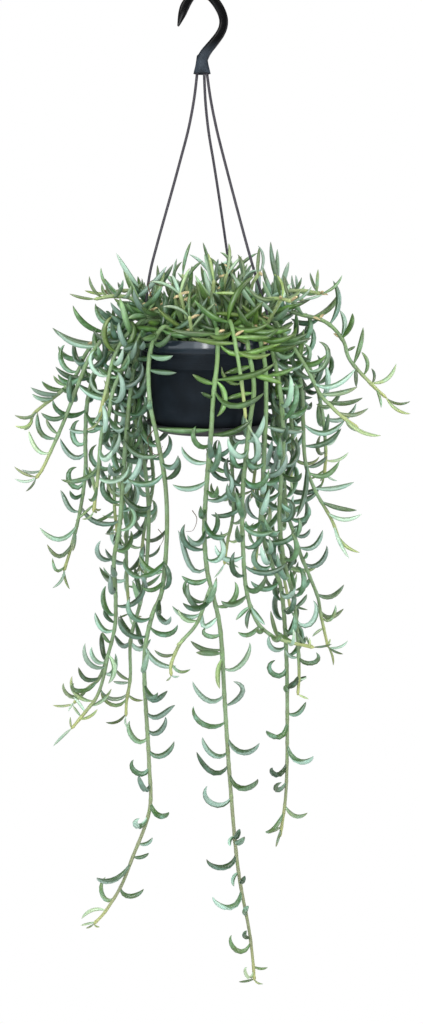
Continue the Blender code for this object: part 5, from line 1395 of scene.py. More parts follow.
def strand_plastic(colour):
    """Drawn plastic strap with fine lines along it and a few scuffs."""
    finish = Finish("strand_plastic", Metallic=0.0)
    lines = finish.grain(5.0, 2.0, finish.join(*finish.mark("skin")))
    scuff = finish.grain(130.0, 4.0, rough=0.7)
    body = finish.mix(lines, shade(colour, 0.7), shade(colour, 1.3))
    worn = finish.times(finish.span(scuff, 0.55, 0.7), 0.35)
    scuffed = finish.mix(worn, body, shade(colour, 2.4))
    finish.relief((lines, 0.25, 0.0002), (scuff, 0.12, 0.0001))
    return finish.set(Base_Color=scuffed, Roughness=finish.span(scuff, 0.3, 0.7, 0.34, 0.55))


def potting_soil(colour):
    """Damp peat with fibres, and granules from black peat to bark and pale perlite."""
    finish = Finish("potting_soil", Metallic=0.0)
    tone, granule, _ = finish.mark("life")
    cloud = finish.grain(60.0, 5.0, rough=0.65)
    fibre = finish.grain(420.0, 4.0, finish.place((1.0, 0.25, 1.0)), rough=0.7)
    peat = finish.mix(finish.span(cloud, 0.35, 0.65), shade(colour, 0.5), shade(colour, 1.6, 0.1))
    fibrous = finish.mix(finish.span(fibre, 0.55, 0.68), peat, shade(colour, 3.4, 0.15))
    grains = finish.ramp(
        tone, (0.0, shade(colour, 0.5)), (0.35, shade(colour, 1.5)), (0.7, shade(colour, 3.8, 0.2)),
        (0.9, (0.16, 0.10, 0.05)), (0.96, (0.55, 0.53, 0.48))
    )
    loose = finish.maths("GREATER_THAN", granule, 0.5)
    finish.relief((cloud, 0.6, 0.001), (fibre, 0.5, 0.0004), (finish.cells(700.0), 0.5, 0.0006))
    rough = finish.span(cloud, 0.3, 0.7, 0.75, 0.98)
    return finish.set(Base_Color=finish.mix(loose, fibrous, grains), Roughness=rough)


def leaf_skin(plant):
    """Waxy leaf: a pale foot, a darker body with a glassy window line on its hollow side, a dry tip."""
    finish = Finish("leaf_skin", Metallic=0.0, Specular_IOR_Level=0.85)
    across, hollow, along = finish.mark("skin")
    tone, youth, bright = finish.mark("life")
    leaf, fresh, tip, young = plant.leaf_colour, plant.bright_colour, plant.tip_colour, plant.young_colour
    blue = finish.ramp(
        along, (0.0, shade(plant.stem_colour, 0.8)), (0.10, shade(leaf, 1.2)), (0.34, shade(leaf, 1.05)),
        (0.72, shade(leaf, 0.84, 0.04)), (0.93, shade(leaf, 0.62, 0.25)), (0.985, tip)
    )
    green = finish.ramp(
        along, (0.0, shade(plant.stem_colour, 0.9)), (0.12, shade(fresh, 1.25)), (0.40, shade(fresh, 0.85)),
        (0.75, shade(fresh, 0.60)), (0.94, shade(fresh, 0.55, 0.3)), (0.985, tip)
    )
    body = finish.mix(bright, blue, green)
    body = finish.mix(finish.times(youth, 0.75), body, young)
    drawn_out = finish.maths("ADD", finish.times(along, 0.7), finish.times(tone, 9.0))
    streak = finish.grain(3.2, 4.0, finish.join(across, hollow, drawn_out), rough=0.6)
    body = finish.mix(finish.span(streak, 0.38, 0.62), body, (0.60, 0.68, 0.50, 1.0), "MULTIPLY")
    patch = finish.grain(85.0, 3.0)
    kind = finish.maths("FRACT", finish.times(tone, 7.3))
    plain = finish.maths("SUBTRACT", 1.0, bright)
    waxy = finish.times(finish.span(kind, 0.52, 0.76), finish.times(plain, 0.75))
    body = finish.mix(waxy, body, plant.waxy_colour)
    deep = finish.times(finish.span(kind, 0.42, 0.20), 0.75)
    body = finish.mix(deep, body, plant.deep_colour)
    # Pale patches: partly the leaf's waxy dust, partly painted highlights.
    dust_and_highlight = finish.mix(bright, shade(leaf, 1.7, -0.05), shade(fresh, 1.5))
    body = finish.mix(finish.times(finish.span(patch, 0.42, 0.66), 0.34), body, dust_and_highlight)
    bloom = finish.times(finish.span(streak, 0.55, 0.70), 0.30)
    body = finish.mix(bloom, body, shade(plant.waxy_colour, 1.1))
    upper = finish.times(finish.span(hollow, -0.05, 0.60), finish.span(streak, 0.2, 0.6, 0.6, 0.95))
    grown = finish.maths("SUBTRACT", 1.0, finish.times(youth, 0.6))
    dark = finish.mix(bright, plant.deep_colour, shade(fresh, 0.34))
    body = finish.mix(finish.times(upper, grown), body, dark)
    middle = finish.times(finish.span(along, 0.10, 0.25), finish.span(along, 0.92, 0.75))
    window = finish.times(finish.span(hollow, 0.90, 0.99), middle)
    body = finish.mix(finish.times(window, 0.6), body, shade(fresh, 0.42))
    shown = finish.span(tone, 0.0, 1.0, 0.62, 1.52)
    body = finish.mix(1.0, body, finish.join(shown, shown, shown), "MULTIPLY")
    fine = finish.grain(1400.0, 3.0)
    finish.relief((streak, 0.2, 0.0004), (patch, 0.15, 0.0006), (fine, 0.08, 0.0001))
    return finish.set(Base_Color=body, Roughness=finish.span(patch, 0.3, 0.7, 0.26, 0.42))


def stem_skin(plant):
    """Pale grey-green bark with fine lengthwise lines, yellow-green where the stem is young."""
    finish = Finish("stem_skin", Metallic=0.0)
    across, up, along = finish.mark("skin")
    _, youth, bright = finish.mark("life")
    old = plant.stem_colour
    lines = finish.grain(5.0, 4.0, finish.join(across, up, finish.times(along, 3.0)), rough=0.65)
    patch = finish.grain(70.0, 4.0)
    body = finish.mix(finish.span(patch, 0.35, 0.65), shade(old, 0.8, 0.05), shade(old, 1.15, -0.03))
    height = finish.height()
    body = finish.mix(finish.span(height, -0.72, -0.95, 0.0, 0.75), body, plant.low_stem_colour)
    body = finish.mix(finish.times(bright, 0.3), body, shade(plant.bright_colour, 1.8))
    body = finish.mix(finish.times(youth, 0.8), body, plant.young_colour)
    body = finish.mix(finish.span(lines, 0.35, 0.65), body, (0.74, 0.76, 0.70, 1.0), "MULTIPLY")
    scar = finish.times(finish.span(finish.grain(240.0, 3.0), 0.62, 0.72), 0.5)
    body = finish.mix(scar, body, shade(old, 0.45, 0.3))
    finish.relief((lines, 0.4, 0.0003), (patch, 0.2, 0.0005))
    return finish.set(Base_Color=body, Roughness=finish.span(patch, 0.3, 0.7, 0.45, 0.62))


def dry_skin(name, old):
    """Dead, curled skin, paler on its ridges."""
    finish = Finish(name, Metallic=0.0)
    curl = finish.grain(300.0, 4.0, rough=0.7)
    finish.relief((curl, 0.6, 0.0004))
    body = finish.ramp(curl, (0.3, shade(old, 0.4)), (0.55, shade(old, 1.0)), (0.75, shade(old, 2.2, 0.1)))
    return finish.set(Base_Color=body, Roughness=finish.span(curl, 0.3, 0.7, 0.6, 0.9))


def smooth_profile(rows, step):
    """A profile of (radius, height) with more points, on a smooth curve."""
    return [(x, z) for x, _, z in smooth_line([(radius, 0.0, height) for radius, height in rows], step)]


def pot_profile(ridge):
    """The pot's whole section: down its outer side and back up its inner side."""
    turns = np.radians(np.linspace(0.0, 90.0, 6))
    inner_edge = [(LIP_RADIUS, -0.5), (LIP_RADIUS + 0.15, -0.15), (LIP_RADIUS + 0.5, 0.0)]
    corner = RIM_RADIUS - RIM_ROUNDING
    edge = [(corner + RIM_ROUNDING * math.sin(t), RIM_ROUNDING * (math.cos(t) - 1.0)) for t in turns]
    low = 1.0 - RIM_BAND
    edge += [(RIM_RADIUS, -6.0), (RIM_RADIUS, low), (RIM_RADIUS - 0.3, low - 0.6)]
    edge += [(RIM_RADIUS - 1.0, -RIM_BAND)]
    top, foot = -RIM_BAND - 1.6, 0.5 - COLLAR_FOOT
    heights = np.linspace(top, foot, 42)
    waves = ridge * (1.0 - np.cos(2.0 * math.pi * (heights - top) / RIDGE_PITCH))
    collar = list(zip(COLLAR_RADIUS - waves, heights))
    wall = smooth_profile(POT_WALL, 1.5)
    middle, height = POT_CORNER
    across, down = POT_CORNER_REACH
    turns = np.radians(np.linspace(0, 90, 15))
    bend = [(middle + across * math.cos(t), height - down * math.sin(t)) for t in turns]
    floor = WALL - POT_HEIGHT
    inner = [(BUTTON_HOLE, -POT_HEIGHT), (BUTTON_HOLE, floor), (POT_FLOOR_RADIUS, floor)] + list(POT_INSIDE)
    inner += [(COLLAR_INSIDE, foot), (COLLAR_INSIDE, -WALL)]
    return inner_edge + edge + collar + wall + bend + inner + [(LIP_RADIUS, -WALL)]


class HANGINGPLANT_OT_pot(bpy.types.Operator):
    """Turn the pot with its glossy rim band, fine moulded lines and drain holes"""

    bl_idname = "hanging_plant.pot"
    bl_label = "Make the pot"

    def execute(self, context):
        chosen = context.scene.hanging_pot
        skin = Skin()
        add_turned(skin, pot_profile(chosen.ridge_depth / MM), chosen.round_steps)
        pot = skin.build("pot_shell", [pot_plastic(chosen.wall_colour)], POT_CREASE)
        through = (STRAND_HOLE, -HOLE_REACH, HOLE_REACH)
        holes = [polar(azimuth, STRAND_CIRCLE) + through for azimuth, _ in STRANDS.values()]
        drain = (DRAIN_HOLE, -POT_HEIGHT - 3.0, 3.0 - POT_HEIGHT)
        holes += [polar(360 * k / DRAIN_HOLES + DRAIN_TURN, DRAIN_CIRCLE) + drain for k in range(DRAIN_HOLES)]
        cut_holes(pot, holes, HOLE_SIDES)
        set_creases(pot, POT_CREASE)
        put_in_place(pot, "pot_plastic", "pot")
        return {"FINISHED"}


def saucer_profile():
    """The saucer's section: down its outer side, then the snap button and back up its inner side."""
    floor = -CLEAR - POT_HEIGHT
    under = floor - SAUCER_FLOOR
    head = WALL - POT_HEIGHT + CLEAR
    outer = [
        (SAUCER_RADIUS - 1.2, SAUCER_TOP - 0.05), (SAUCER_RADIUS - 0.55, SAUCER_TOP),
        (SAUCER_RADIUS - 0.15, SAUCER_TOP - 0.3), (SAUCER_RADIUS, SAUCER_TOP - 0.8), (71.5, -94.9),
        (70.6, -96.2), (68.3, -97.6), (65.0, -99.4), (62.0, -101.0), (59.4, -102.7),
        (SAUCER_FOOT + 1.4, under + 0.3),
        (SAUCER_FOOT + 0.6, under), (SAUCER_FOOT - 3.0, under), (SAUCER_FOOT - 3.6, under + 0.5),
        (16.0, under + 0.5), (15.4, under), (9.0, under), (8.4, under + 0.5), (0.0, under + 0.5),
    ]
    button = [
        (BUTTON_HOLE - 0.4, floor), (BUTTON_HOLE - 0.4, head), (BUTTON_HEAD, head),
        (BUTTON_HEAD - 0.4, head + 0.7), (BUTTON_HEAD - 1.4, head + BUTTON_RISE), (0.0, head + BUTTON_RISE),
    ]
    inner = [
        (SAUCER_RADIUS - 2.0, SAUCER_TOP - 0.2), (69.4, SAUCER_TOP - 1.6), (61.0, -99.6),
        (SAUCER_FOOT - 1.0, floor),
    ]
    return outer[::-1] + inner + button


class HANGINGPLANT_OT_saucer(bpy.types.Operator):
    """Turn the drip saucer with its rolled lip, its foot rings and its snap button"""

    bl_idname = "hanging_plant.saucer"
    bl_label = "Make the saucer"

    def execute(self, context):
        chosen = context.scene.hanging_pot
        skin = Skin()
        add_turned(skin, saucer_profile(), chosen.round_steps, closed=False)
        saucer = skin.build("drip_saucer", [saucer_plastic(chosen.saucer_colour)], SAUCER_CREASE)
        put_in_place(saucer, "saucer_plastic", "saucer")
        return {"FINISHED"}


def soil_surface(x, y, roots):
    """The soil's height at a place: its lumps, and the hole round each stem's foot."""
    rough = noise.noise(Vector((x, y, 0.0)) * 0.16) + 0.5 * noise.noise(Vector((x, y, 7.0)) * 0.42)
    height = soil_height(x, y) + 0.8 * rough
    for root_x, root_y in roots:
        near = math.hypot(x - root_x, y - root_y) / STEM_HOLE
        if near < 1.0:
            height = min(height, soil_height(root_x, root_y) - STEM_HOLE_DEPTH * min(1.0, 2.5 * (1.0 - near)))
    return height


class HANGINGPLANT_OT_soil(bpy.types.Operator):
    """Fill the pot with lumpy peat, with a hole for each stem and loose granules on top"""

    bl_idname = "hanging_plant.soil"
    bl_label = "Make the soil"

    def execute(self, context):
        chosen = context.scene.hanging_pot
        roots = [polar(*stem.root) for stem in all_stems()]
        bottom = WALL - POT_HEIGHT + CLEAR
        side = COLLAR_INSIDE - SOIL_GAP
        dip = BUTTON_HEAD + 0.7
        around = np.stack(circle(SOIL_STEPS), axis=1)
        skin = Skin()
        pole = skin.add_points([(0.0, 0.0, soil_surface(0.0, 0.0, roots))])
        rings = []
        for radius in np.linspace(1.5, side - 2.4, SOIL_RINGS):
            rings.append([(x, y, soil_surface(x, y, roots)) for x, y in radius * around])
        profile = [(side, SOIL_TOP - 2.0), (side, 1.0 - COLLAR_FOOT)]
        profile += [(radius - SOIL_GAP, height + 0.2) for radius, height in reversed(POT_INSIDE)]
        profile += [(POT_FLOOR_RADIUS - SOIL_GAP, bottom), (dip, bottom), (dip, bottom + BUTTON_RISE + 0.6)]
        for radius, height in profile:
            rings.append([(x, y, height) for x, y in radius * around])
        first = skin.add_points(np.array(rings), life=(0.3, 0.0, 0.0))
        skin.join_rings(first, len(rings), SOIL_STEPS)
        skin.close_cone(first, SOIL_STEPS, pole)
        under = skin.add_points([(0.0, 0.0, bottom + BUTTON_RISE + 0.6)])
        skin.close_cone(under - SOIL_STEPS, SOIL_STEPS, under)
        self.add_granules(skin, chosen.granules, side, roots)
        soil = skin.build("potting_soil", [potting_soil(chosen.soil_colour)], SOIL_CREASE)
        put_in_place(soil, "potting_soil", "soil")
        return {"FINISHED"}

    def add_granules(self, skin, count, side, roots):
        """Dented grains of bark, peat and perlite, clear of the stems."""
        draw = random.Random(GRANULE_SEED)
        lump = bmesh.new()
        bmesh.ops.create_icosphere(lump, subdivisions=1, radius=1.0)
        shape = np.array([vert.co for vert in lump.verts])
        faces = [[vert.index for vert in face.verts] for face in lump.faces]
        lump.free()
        for _ in range(count):
            x, y = polar(draw.uniform(0.0, 360.0), (side - 5.0) * math.sqrt(draw.random()))
            size = draw.uniform(0.5, 1.1) if draw.random() < 0.75 else draw.uniform(1.0, 1.9)
            tone = draw.random()
            stretch = np.array([draw.uniform(0.7, 1.7), draw.uniform(0.7, 1.2), draw.uniform(0.5, 0.9)])
            dents = np.array([draw.uniform(0.75, 1.15) for _ in shape])[:, None]
            turn = draw.uniform(0.0, math.pi)
            if min(math.hypot(x - a, y - b) for a, b in roots) < STEM_HOLE + 2.2:
                continue
            body = shape * dents * stretch * size
            spun = np.column_stack([
                body[:, 0] * math.cos(turn) - body[:, 1] * math.sin(turn),
                body[:, 0] * math.sin(turn) + body[:, 1] * math.cos(turn), body[:, 2]
            ])
            place = (x, y, soil_surface(x, y, roots) + 0.25 * size)
            start = skin.add_points(spun + place, life=(tone, 1.0, 0.0))
            skin.add_faces([[start + n for n in face] for face in faces])


def bell_spread(radius, height, cosine):
    """The bell's foot is round but for an ear to the left and one to the right."""
    foot = min(1.0, max(0.0, (BELL_FOOT + BELL_EAR_HEIGHT - height) / BELL_EAR_HEIGHT))
    return radius - BELL_EAR * foot * (1.0 - np.abs(cosine) ** 5)


class HANGINGPLANT_OT_hook(bpy.types.Operator):
    """Sweep the flat hook with its blunt tip, and turn the bell at its foot"""

    bl_idname = "hanging_plant.hook"
    bl_label = "Make the hook"

    def execute(self, context):
        chosen = context.scene.hanging_hanger
        line = smooth_line(smooth_line(HOOK_LINE, HOOK_STEP), 1.6)
        radii = line[:, 1] * HOOK_FIT
        line = line * (1.0, 0.0, 1.0)
        end = line[-1] - line[-2]
        line = np.vstack([line] + [line[-1:] + end / np.linalg.norm(end) * out for out, _ in HOOK_TIP])
        radii = np.concatenate([radii, [radii[-1] * girth for _, girth in HOOK_TIP]])
        plastic = hook_plastic(chosen.hook_colour, chosen.bell_colour)
        bar_skin = Skin()
        add_bar(bar_skin, line, radii, HOOK_SIDES, section=squared(HOOK_SIDES, HOOK_SQUARENESS))
        for points in bar_skin.points:
            points[:, 1] *= [hook_flatness(height) for height in points[:, 2]]
        bar = bar_skin.build("hook_bar", [plastic], HANGER_CREASE)
        outside = smooth_profile(BELL_OUTSIDE + ((BELL_LIP, BELL_FOOT),), 0.7)
        profile = list(BELL_TOP) + outside + list(BELL_INSIDE)
        bell_skin = Skin()
        add_turned(bell_skin, profile, BELL_STEPS, 0, False, (BELL_X, 0.0), bell_spread)
        bell = bell_skin.build("hook_and_bell", [plastic], HANGER_CREASE)
        combine(bell, bar, "UNION")
        set_creases(bell, HANGER_CREASE)
        put_in_place(bell, "hook_plastic", "hanger_hook")
        return {"FINISHED"}


class HANGINGPLANT_OT_strands(bpy.types.Operator):
    """Sweep the three strands, each with its cross bar under the rim"""

    bl_idname = "hanging_plant.strands"
    bl_label = "Make the strands"

    def execute(self, context):
        chosen = context.scene.hanging_hanger
        plastic = strand_plastic(chosen.strand_colour)
        thick = chosen.strand_width / MM / 2.0
        for name, line in strand_lines().items():
            azimuth = STRANDS[name][0]
            slanted = smooth_line(line[:-1], 6.0)
            drop = np.linspace(line[-2], line[-1], 5)[1:]
            points = np.vstack([slanted, drop])
            skin = Skin()
            radii = np.full(len(points), thick)
            section = squared(STRAND_SIDES, STRAND_SQUARENESS)
            add_bar(skin, points, radii, STRAND_SIDES, section=section, flatness=STRAND_FLATNESS)
            side = np.array(polar(azimuth + 90.0, CROSS_BAR / 2) + (0.0,))
            middle = line[-1] - (0.0, 0.0, 0.1)
            bar = middle + np.linspace(-1.0, 1.0, len(BAR_ENDS))[:, None] * side
            add_bar(skin, bar, STRAND_RADIUS * BAR_FIT * np.array(BAR_ENDS), BAR_SIDES)
            piece = skin.build(name.replace("strand", "strap"), [plastic], HANGER_CREASE)
            put_in_place(piece, "strand_plastic", name)
        return {"FINISHED"}


def bend_frames(points):
    """At each point of a leaf's middle line, the directions across it and to its hollow side."""
    courses = np.gradient(points, axis=0)
    courses /= np.linalg.norm(courses, axis=1)[:, None]
    bend = np.cross(courses[0], courses[-1])
    if np.linalg.norm(bend) < 0.08:
        bend = np.cross(courses[0], (0.02, 0.03, 1.0))
    bend /= np.linalg.norm(bend)
    hollow = np.cross(bend, courses)
    hollow /= np.linalg.norm(hollow, axis=1)[:, None]
    return np.cross(hollow, courses), hollow


def rounded_line(points, steps=60):
    """An evenly bent curve through a few points."""
    along = distances_along(points)
    bends = np.polyfit(along / along[-1], points, min(3, len(points) - 1))
    share = np.linspace(0.0, 1.0, steps)
    return np.stack([np.polyval(bends[:, axis], share) for axis in range(3)], axis=1)


def add_leaf(skin, leaf, sides, fullness, life):
    """A banana-shaped leaf: a thin neck, a full middle with a shallow groove, and a fine dry tip."""
    dense = evened(rounded_line(leaf.points), LEAF_RING_STEP)
    shares, girths = np.array(LEAF_SHAPE).T
    middle = points_at(shares, np.linspace(0.0, 1.0, len(dense)), dense)
    across, hollow = bend_frames(middle)
    cosine, sine = circle(sides)
    off = np.arctan2(sine, cosine) - math.pi / 2
    groove = 1.0 - LEAF_GROOVE * np.exp(-((off / GROOVE_WIDTH) ** 2))
    radii = leaf.radius * fullness * girths * (1.0 - YOUNG_SLIMNESS * life[1])
    offsets = across[:, None] * (cosine * groove)[:, None] + hollow[:, None] * (sine * groove)[:, None]
    rings = middle[:-1, None] + offsets[:-1] * radii[:-1, None, None]
    marks = np.stack(np.broadcast_arrays(cosine, sine, shares[:-1, None]), axis=2)
    first = skin.add_points(rings, marks, life)
    skin.join_rings(first, len(rings), sides, 1)
    skin.close_end(first, sides, False, 1)
    tip = skin.add_points(middle[-1:], [(0.0, 0.0, 1.0)], life)
    skin.close_cone(tip - sides, sides, tip, 1)


def brightness(point, draw):
    """How far a leaf takes the bright green of the rim's front, rather than the waxy blue-green."""
    x, y, z = ((p - middle) / reach for p, middle, reach in zip(point, BRIGHT_MIDDLE, BRIGHT_REACH))
    front = BRIGHT_FRONT / (1.0 + math.exp(y)) * math.exp(-(x**2)) * math.exp(-(z**2))
    crest = math.exp(-(((point[2] - MOUND_CREST[0]) / MOUND_CREST[1]) ** 2))
    crest *= CREST_BRIGHT[0] if draw.random() < CREST_SHARE else CREST_BRIGHT[1]
    stray = STRAY_BRIGHT if draw.random() < STRAY_SHARE else 0.0
    return min(1.0, max(0.0, front + crest + stray + draw.uniform(-0.15, 0.12)))


def stem_rings(line, swellings, length):
    """A stem's radius at each point: its taper, a swelling at each leaf and a rounded end."""
    along = distances_along(line)
    radii = stem_radius(along / along[-1], length) * (1.0 + STEM_EVENNESS * along / along[-1])
    for place in swellings:
        distance = np.linalg.norm(line - place, axis=1)
        radii = radii * (1.0 + SWELLING * np.exp(-((distance / SWELLING_REACH) ** 2)))
    radii[-1] *= STEM_END
    return radii


def growing_room(margin):
    """The solid's box, in millimetres from the rim's middle, less a margin."""
    low, high = (np.array(corner) / MM - (SEAT_LEFT_OF_AXIS, 0.0, -SEAT_ABOVE_RIM) for corner in CAD_BOX)
    return low + margin, high - margin


def bare(base, upright, draw):
    """Whether a finer leaf is left out: the pot's front shows, and the mound and one fork are loose."""
    x, y, z = base
    chance = 0.0
    if y < BEFORE_POT["front"] and abs(x) < BEFORE_POT["side"] and BEFORE_POT["low"] < z < BEFORE_POT["high"]:
        chance = BEFORE_POT["share"]
    elif upright:
        chance = LOOSE_MOUND
    elif x < THIN_FORK["right"] and z < THIN_FORK["high"]:
        chance = THIN_FORK["share"]
    return draw.random() < chance


def looser(heading, start, finish, draw):
    """Some of the finer leaves hug the stem, and some curl further round."""
    kind = draw.random()
    if kind < HUGGING_SHARE:
        start -= math.radians(draw.uniform(15.0, 45.0))
        finish -= math.radians(draw.uniform(15.0, 55.0))
    elif kind < CURLING_SHARE:
        start += math.radians(draw.uniform(5.0, 40.0))
        finish += math.radians(draw.uniform(30.0, 80.0))
    return heading + draw.uniform(-1.0, 1.0), start, finish


def add_husks(skin, leaves, draw):
    """Dry papery scales at the feet of some leaves near the rim."""
    for leaf in leaves:
        foot = leaf.points[0]
        if foot[2] < HUSK_LOWEST or draw.random() > HUSK_SHARE:
            continue
        heading = draw.uniform(0.0, 2 * math.pi)
        out = np.array((math.cos(heading), math.sin(heading), draw.uniform(-0.2, 0.9)))
        line = foot + np.outer(HUSK_ALONG, out) * draw.uniform(0.8, 1.3)
        line[:, 2] -= HUSK_SINK
        add_bar(skin, line, HUSK_WIDTH, SMALL_SIDES, (draw.random(), 0.0, 0.0), 2)


class HANGINGPLANT_OT_leafy_stems(bpy.types.Operator):
    """Grow every leafy stem: the solid's own leaves first, then the finer ones between them"""

    bl_idname = "hanging_plant.leafy_stems"
    bl_label = "Grow the leafy stems"

    def execute(self, context):
        plant = context.scene.hanging_growth
        stems = all_stems()
        lines, curves = stem_lines(stems)
        crowd = Crowd(stems, lines)
        leaves = set_leaves(stems, lines, crowd)
        leaves += grow_leaves(stems, lines, crowd, lambda slot: slot % SOLID_SHARE == 0, LEAF_TRIES)
        crowd.box = growing_room(LEAF_RADIUS)
        leaves += grow_leaves(stems, lines, crowd, lambda slot: slot % SOLID_SHARE, EXTRA_TRIES)
        finishes = [stem_skin(plant), leaf_skin(plant), dry_skin("husk_skin", plant.husk_colour)]
        for k, stem in enumerate(stems):
            own = [leaf for leaf in leaves if leaf.stem == k]
            self.grow(plant, stem, k, curves[k], own, finishes)
        return {"FINISHED"}

    def grow(self, plant, stem, k, curves, leaves, finishes):
        draw = random.Random(STEM_SEED + k)
        skin = Skin()
        youngest = 1.0 if stem.crest is not None else SHOOT_YOUTH
        swellings = [leaf.points[0] for leaf in leaves]
        for curve in curves:
            line = smooth_line(curve, STEM_RING_STEP)
            length = line_length(line)
            radii = stem_rings(line, swellings, length) * plant.stem_fullness
            count = len(line)
            add_bar(skin, line, radii, STEM_ROUND)
            from_tip = length * (1.0 - np.linspace(0.0, 1.0, count))
            youth = np.clip(1.0 - from_tip / YOUNG_STRETCH, 0.0, 1.0) * youngest
            bright = np.array([brightness(point, draw) for point in line])
            life = np.stack([np.full(count, 0.5), youth, bright], axis=1)
            skin.life[-1] = np.repeat(life, STEM_ROUND, axis=0)
            skin.skin[-1][:, 2] = np.repeat(np.linspace(0.0, length / STEM_GRAIN, count), STEM_ROUND)
        for leaf in leaves:
            to_tip = min(np.linalg.norm(curve[-1] - leaf.points[0]) for curve in curves)
            youth = max(0.0, 1.0 - to_tip / YOUNG_LEAVES) * youngest
            life = (draw.random(), youth, brightness(leaf.points[1], draw))
            add_leaf(skin, leaf, plant.leaf_sides, plant.leaf_fullness, life)
        add_husks(skin, leaves, draw)
        for points in skin.points:
            np.clip(points, *growing_room(BOX_MARGIN), out=points)
        piece = skin.build("leafy_" + stem.name, finishes)
        put_in_place(piece, "leafy_stem", stem.name)


class HANGINGPLANT_OT_dry_tendrils(bpy.types.Operator):
    """Add the few thin dead tendrils that hang among the stems"""

    bl_idname = "hanging_plant.dry_tendrils"
    bl_label = "Add the dry tendrils"

    def execute(self, context):
        skin = Skin()
        for thick, points in DRY_TENDRILS:
            line = smooth_line(points, 1.2)
            share = np.linspace(0.0, 1.0, len(line))
            add_bar(skin, line, thick * (1.0 - 0.6 * share), SMALL_SIDES)
        piece = skin.build("dry_tendrils", [dry_skin("dry_skin", context.scene.hanging_growth.dry_colour)])
        put_in_place(piece, "leafy_stem")
        return {"FINISHED"}


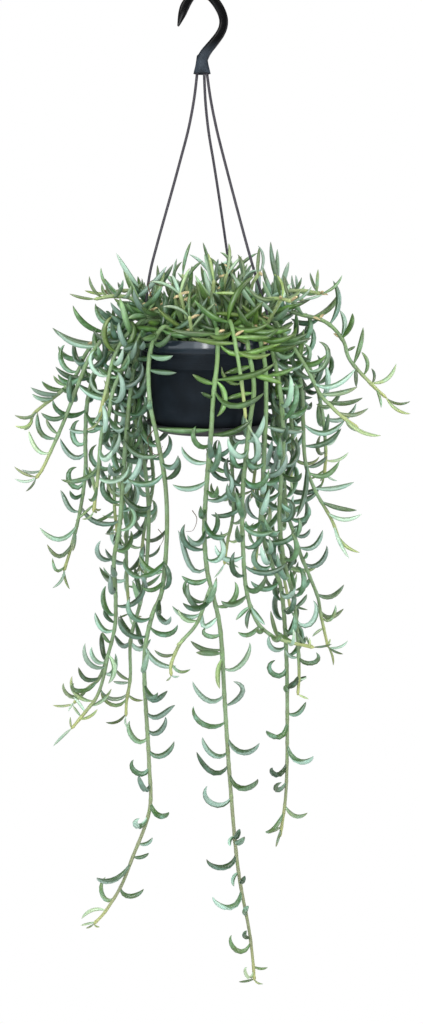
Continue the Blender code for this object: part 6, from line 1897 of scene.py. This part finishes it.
class HANGINGPLANT_OT_stage(bpy.types.Operator):
    """Set the plain white floor and backdrop, the soft lights and the camera"""

    bl_idname = "hanging_plant.stage"
    bl_label = "Set the stage"

    def execute(self, context):
        chosen = context.scene.hanging_stage
        self.lay_floor(chosen)
        self.light_room(context.scene, chosen)
        for name, place, aim, width, height, power, colour in SOFT_LIGHTS:
            self.hang_light(name, place, aim, width, height, power * chosen.key_power, colour)
        self.place_camera(context.scene)
        context.scene.view_settings.view_transform = "Standard"
        return {"FINISHED"}

    def lay_floor(self, chosen):
        """A wide round floor, well below the plant."""
        skin = Skin()
        around = np.stack(circle(FLOOR_STEPS), axis=1)
        pole = skin.add_points([(0.0, 0.0, 0.0)])
        first = skin.add_points([[(x, y, 0.0) for x, y in radius * around] for radius in FLOOR_RINGS])
        skin.close_cone(first, FLOOR_STEPS, pole)
        skin.join_rings(first, len(FLOOR_RINGS), FLOOR_STEPS)
        floor = skin.build("white_floor", [self.floor_white(chosen.backdrop_colour)])
        floor.location.z = SEAT_ABOVE_RIM * MM - chosen.floor_drop

    def floor_white(self, colour):
        """Paper white: it scatters the lights, and is seen as evenly lit as the backdrop."""
        finish = Finish("floor_white", Roughness=0.9)
        tooth = finish.grain(300.0, 3.0)
        finish.set(Base_Color=finish.mix(tooth, shade(colour, 0.84), shade(colour, 0.88)))
        glow = finish.add("ShaderNodeEmission", (("Color", tuple(colour)), ("Strength", 1.0)))
        seen = finish.add("ShaderNodeLightPath").outputs["Is Camera Ray"]
        both = finish.choose(seen, finish.shader.outputs[0], glow.outputs[0])
        finish.feed(finish.tree.nodes["Material Output"].inputs["Surface"], both)
        return finish.material

    def light_room(self, scene, chosen):
        """Even light from all round, in front of a white backdrop."""
        world = bpy.data.worlds.new("white_room")
        nodes = Nodes(world)
        even = nodes.tree.nodes["Background"]
        mirrored, seen = (nodes.add("ShaderNodeBackground") for _ in range(2))
        for node, colour, strength in (
            (even, ROOM_TINT, chosen.room_light), (mirrored, ROOM_TINT, chosen.room_light * MIRRORED_ROOM),
            (seen, chosen.backdrop_colour, 1.0),
        ):
            nodes.feed(node.inputs["Color"], colour)
            nodes.feed(node.inputs["Strength"], strength)
        ray = nodes.add("ShaderNodeLightPath").outputs
        lit = nodes.choose(ray["Is Glossy Ray"], even.outputs[0], mirrored.outputs[0])
        both = nodes.choose(ray["Is Camera Ray"], lit, seen.outputs[0])
        nodes.feed(nodes.tree.nodes["World Output"].inputs["Surface"], both)
        scene.world = world

    def hang_light(self, name, place, aim, width, height, power, colour):
        data = bpy.data.lights.new(name, "AREA")
        data.shape = "RECTANGLE"
        data.size, data.size_y = width, height
        data.energy = power
        data.color = colour
        light = bpy.data.objects.new(name, data)
        bpy.context.scene.collection.objects.link(light)
        light.location = place
        light.rotation_euler = (Vector(aim) - Vector(place)).to_track_quat("-Z", "Y").to_euler()

    def place_camera(self, scene):
        data = bpy.data.cameras.new("front_camera")
        data.lens = CAMERA_LENS
        data.sensor_width = CAMERA_SENSOR
        data.sensor_fit = "AUTO"
        data.clip_end = CAMERA_REACH
        camera = bpy.data.objects.new("front_camera", data)
        scene.collection.objects.link(camera)
        camera.location = CAMERA_PLACE
        camera.rotation_euler = (math.radians(90.0 - CAMERA_PITCH), 0.0, 0.0)
        scene.camera = camera


class HANGINGPLANT_PT_sidebar(bpy.types.Panel):
    """The sizes, colours and steps of the hanging plant"""

    bl_idname = "HANGINGPLANT_PT_sidebar"
    bl_label = "String of bananas"
    bl_space_type = "VIEW_3D"
    bl_region_type = "UI"
    bl_category = "Hanging plant"

    def draw(self, context):
        layout = self.layout
        for group, operators in STEPS:
            box = layout.box()
            settings = getattr(context.scene, group)
            for name in type(settings).__annotations__:
                box.prop(settings, name)
            for operator in operators:
                box.operator(operator.bl_idname)


SETTINGS = (
    ("hanging_pot", PotSettings), ("hanging_hanger", HangerSettings), ("hanging_growth", PlantSettings),
    ("hanging_stage", StageSettings),
)
STEPS = (
    ("hanging_pot", (HANGINGPLANT_OT_pot, HANGINGPLANT_OT_saucer, HANGINGPLANT_OT_soil)),
    ("hanging_hanger", (HANGINGPLANT_OT_hook, HANGINGPLANT_OT_strands)),
    ("hanging_growth", (HANGINGPLANT_OT_leafy_stems, HANGINGPLANT_OT_dry_tendrils)),
    ("hanging_stage", (HANGINGPLANT_OT_stage,)),
)


def every_class():
    operators = [operator for _, group in STEPS for operator in group]
    return [group for _, group in SETTINGS] + operators + [HANGINGPLANT_PT_sidebar]


def register():
    for each in every_class():
        bpy.utils.register_class(each)
    for name, group in SETTINGS:
        setattr(bpy.types.Scene, name, PointerProperty(type=group))


def unregister():
    for name, _ in SETTINGS:
        delattr(bpy.types.Scene, name)
    for each in reversed(every_class()):
        bpy.utils.unregister_class(each)


def main():
    """Builds every piece in turn."""
    register()
    bpy.ops.hanging_plant.pot()
    bpy.ops.hanging_plant.saucer()
    bpy.ops.hanging_plant.soil()
    bpy.ops.hanging_plant.hook()
    bpy.ops.hanging_plant.strands()
    bpy.ops.hanging_plant.leafy_stems()
    bpy.ops.hanging_plant.dry_tendrils()
    bpy.ops.hanging_plant.stage()
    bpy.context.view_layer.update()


if __name__ == "__main__":
    main()
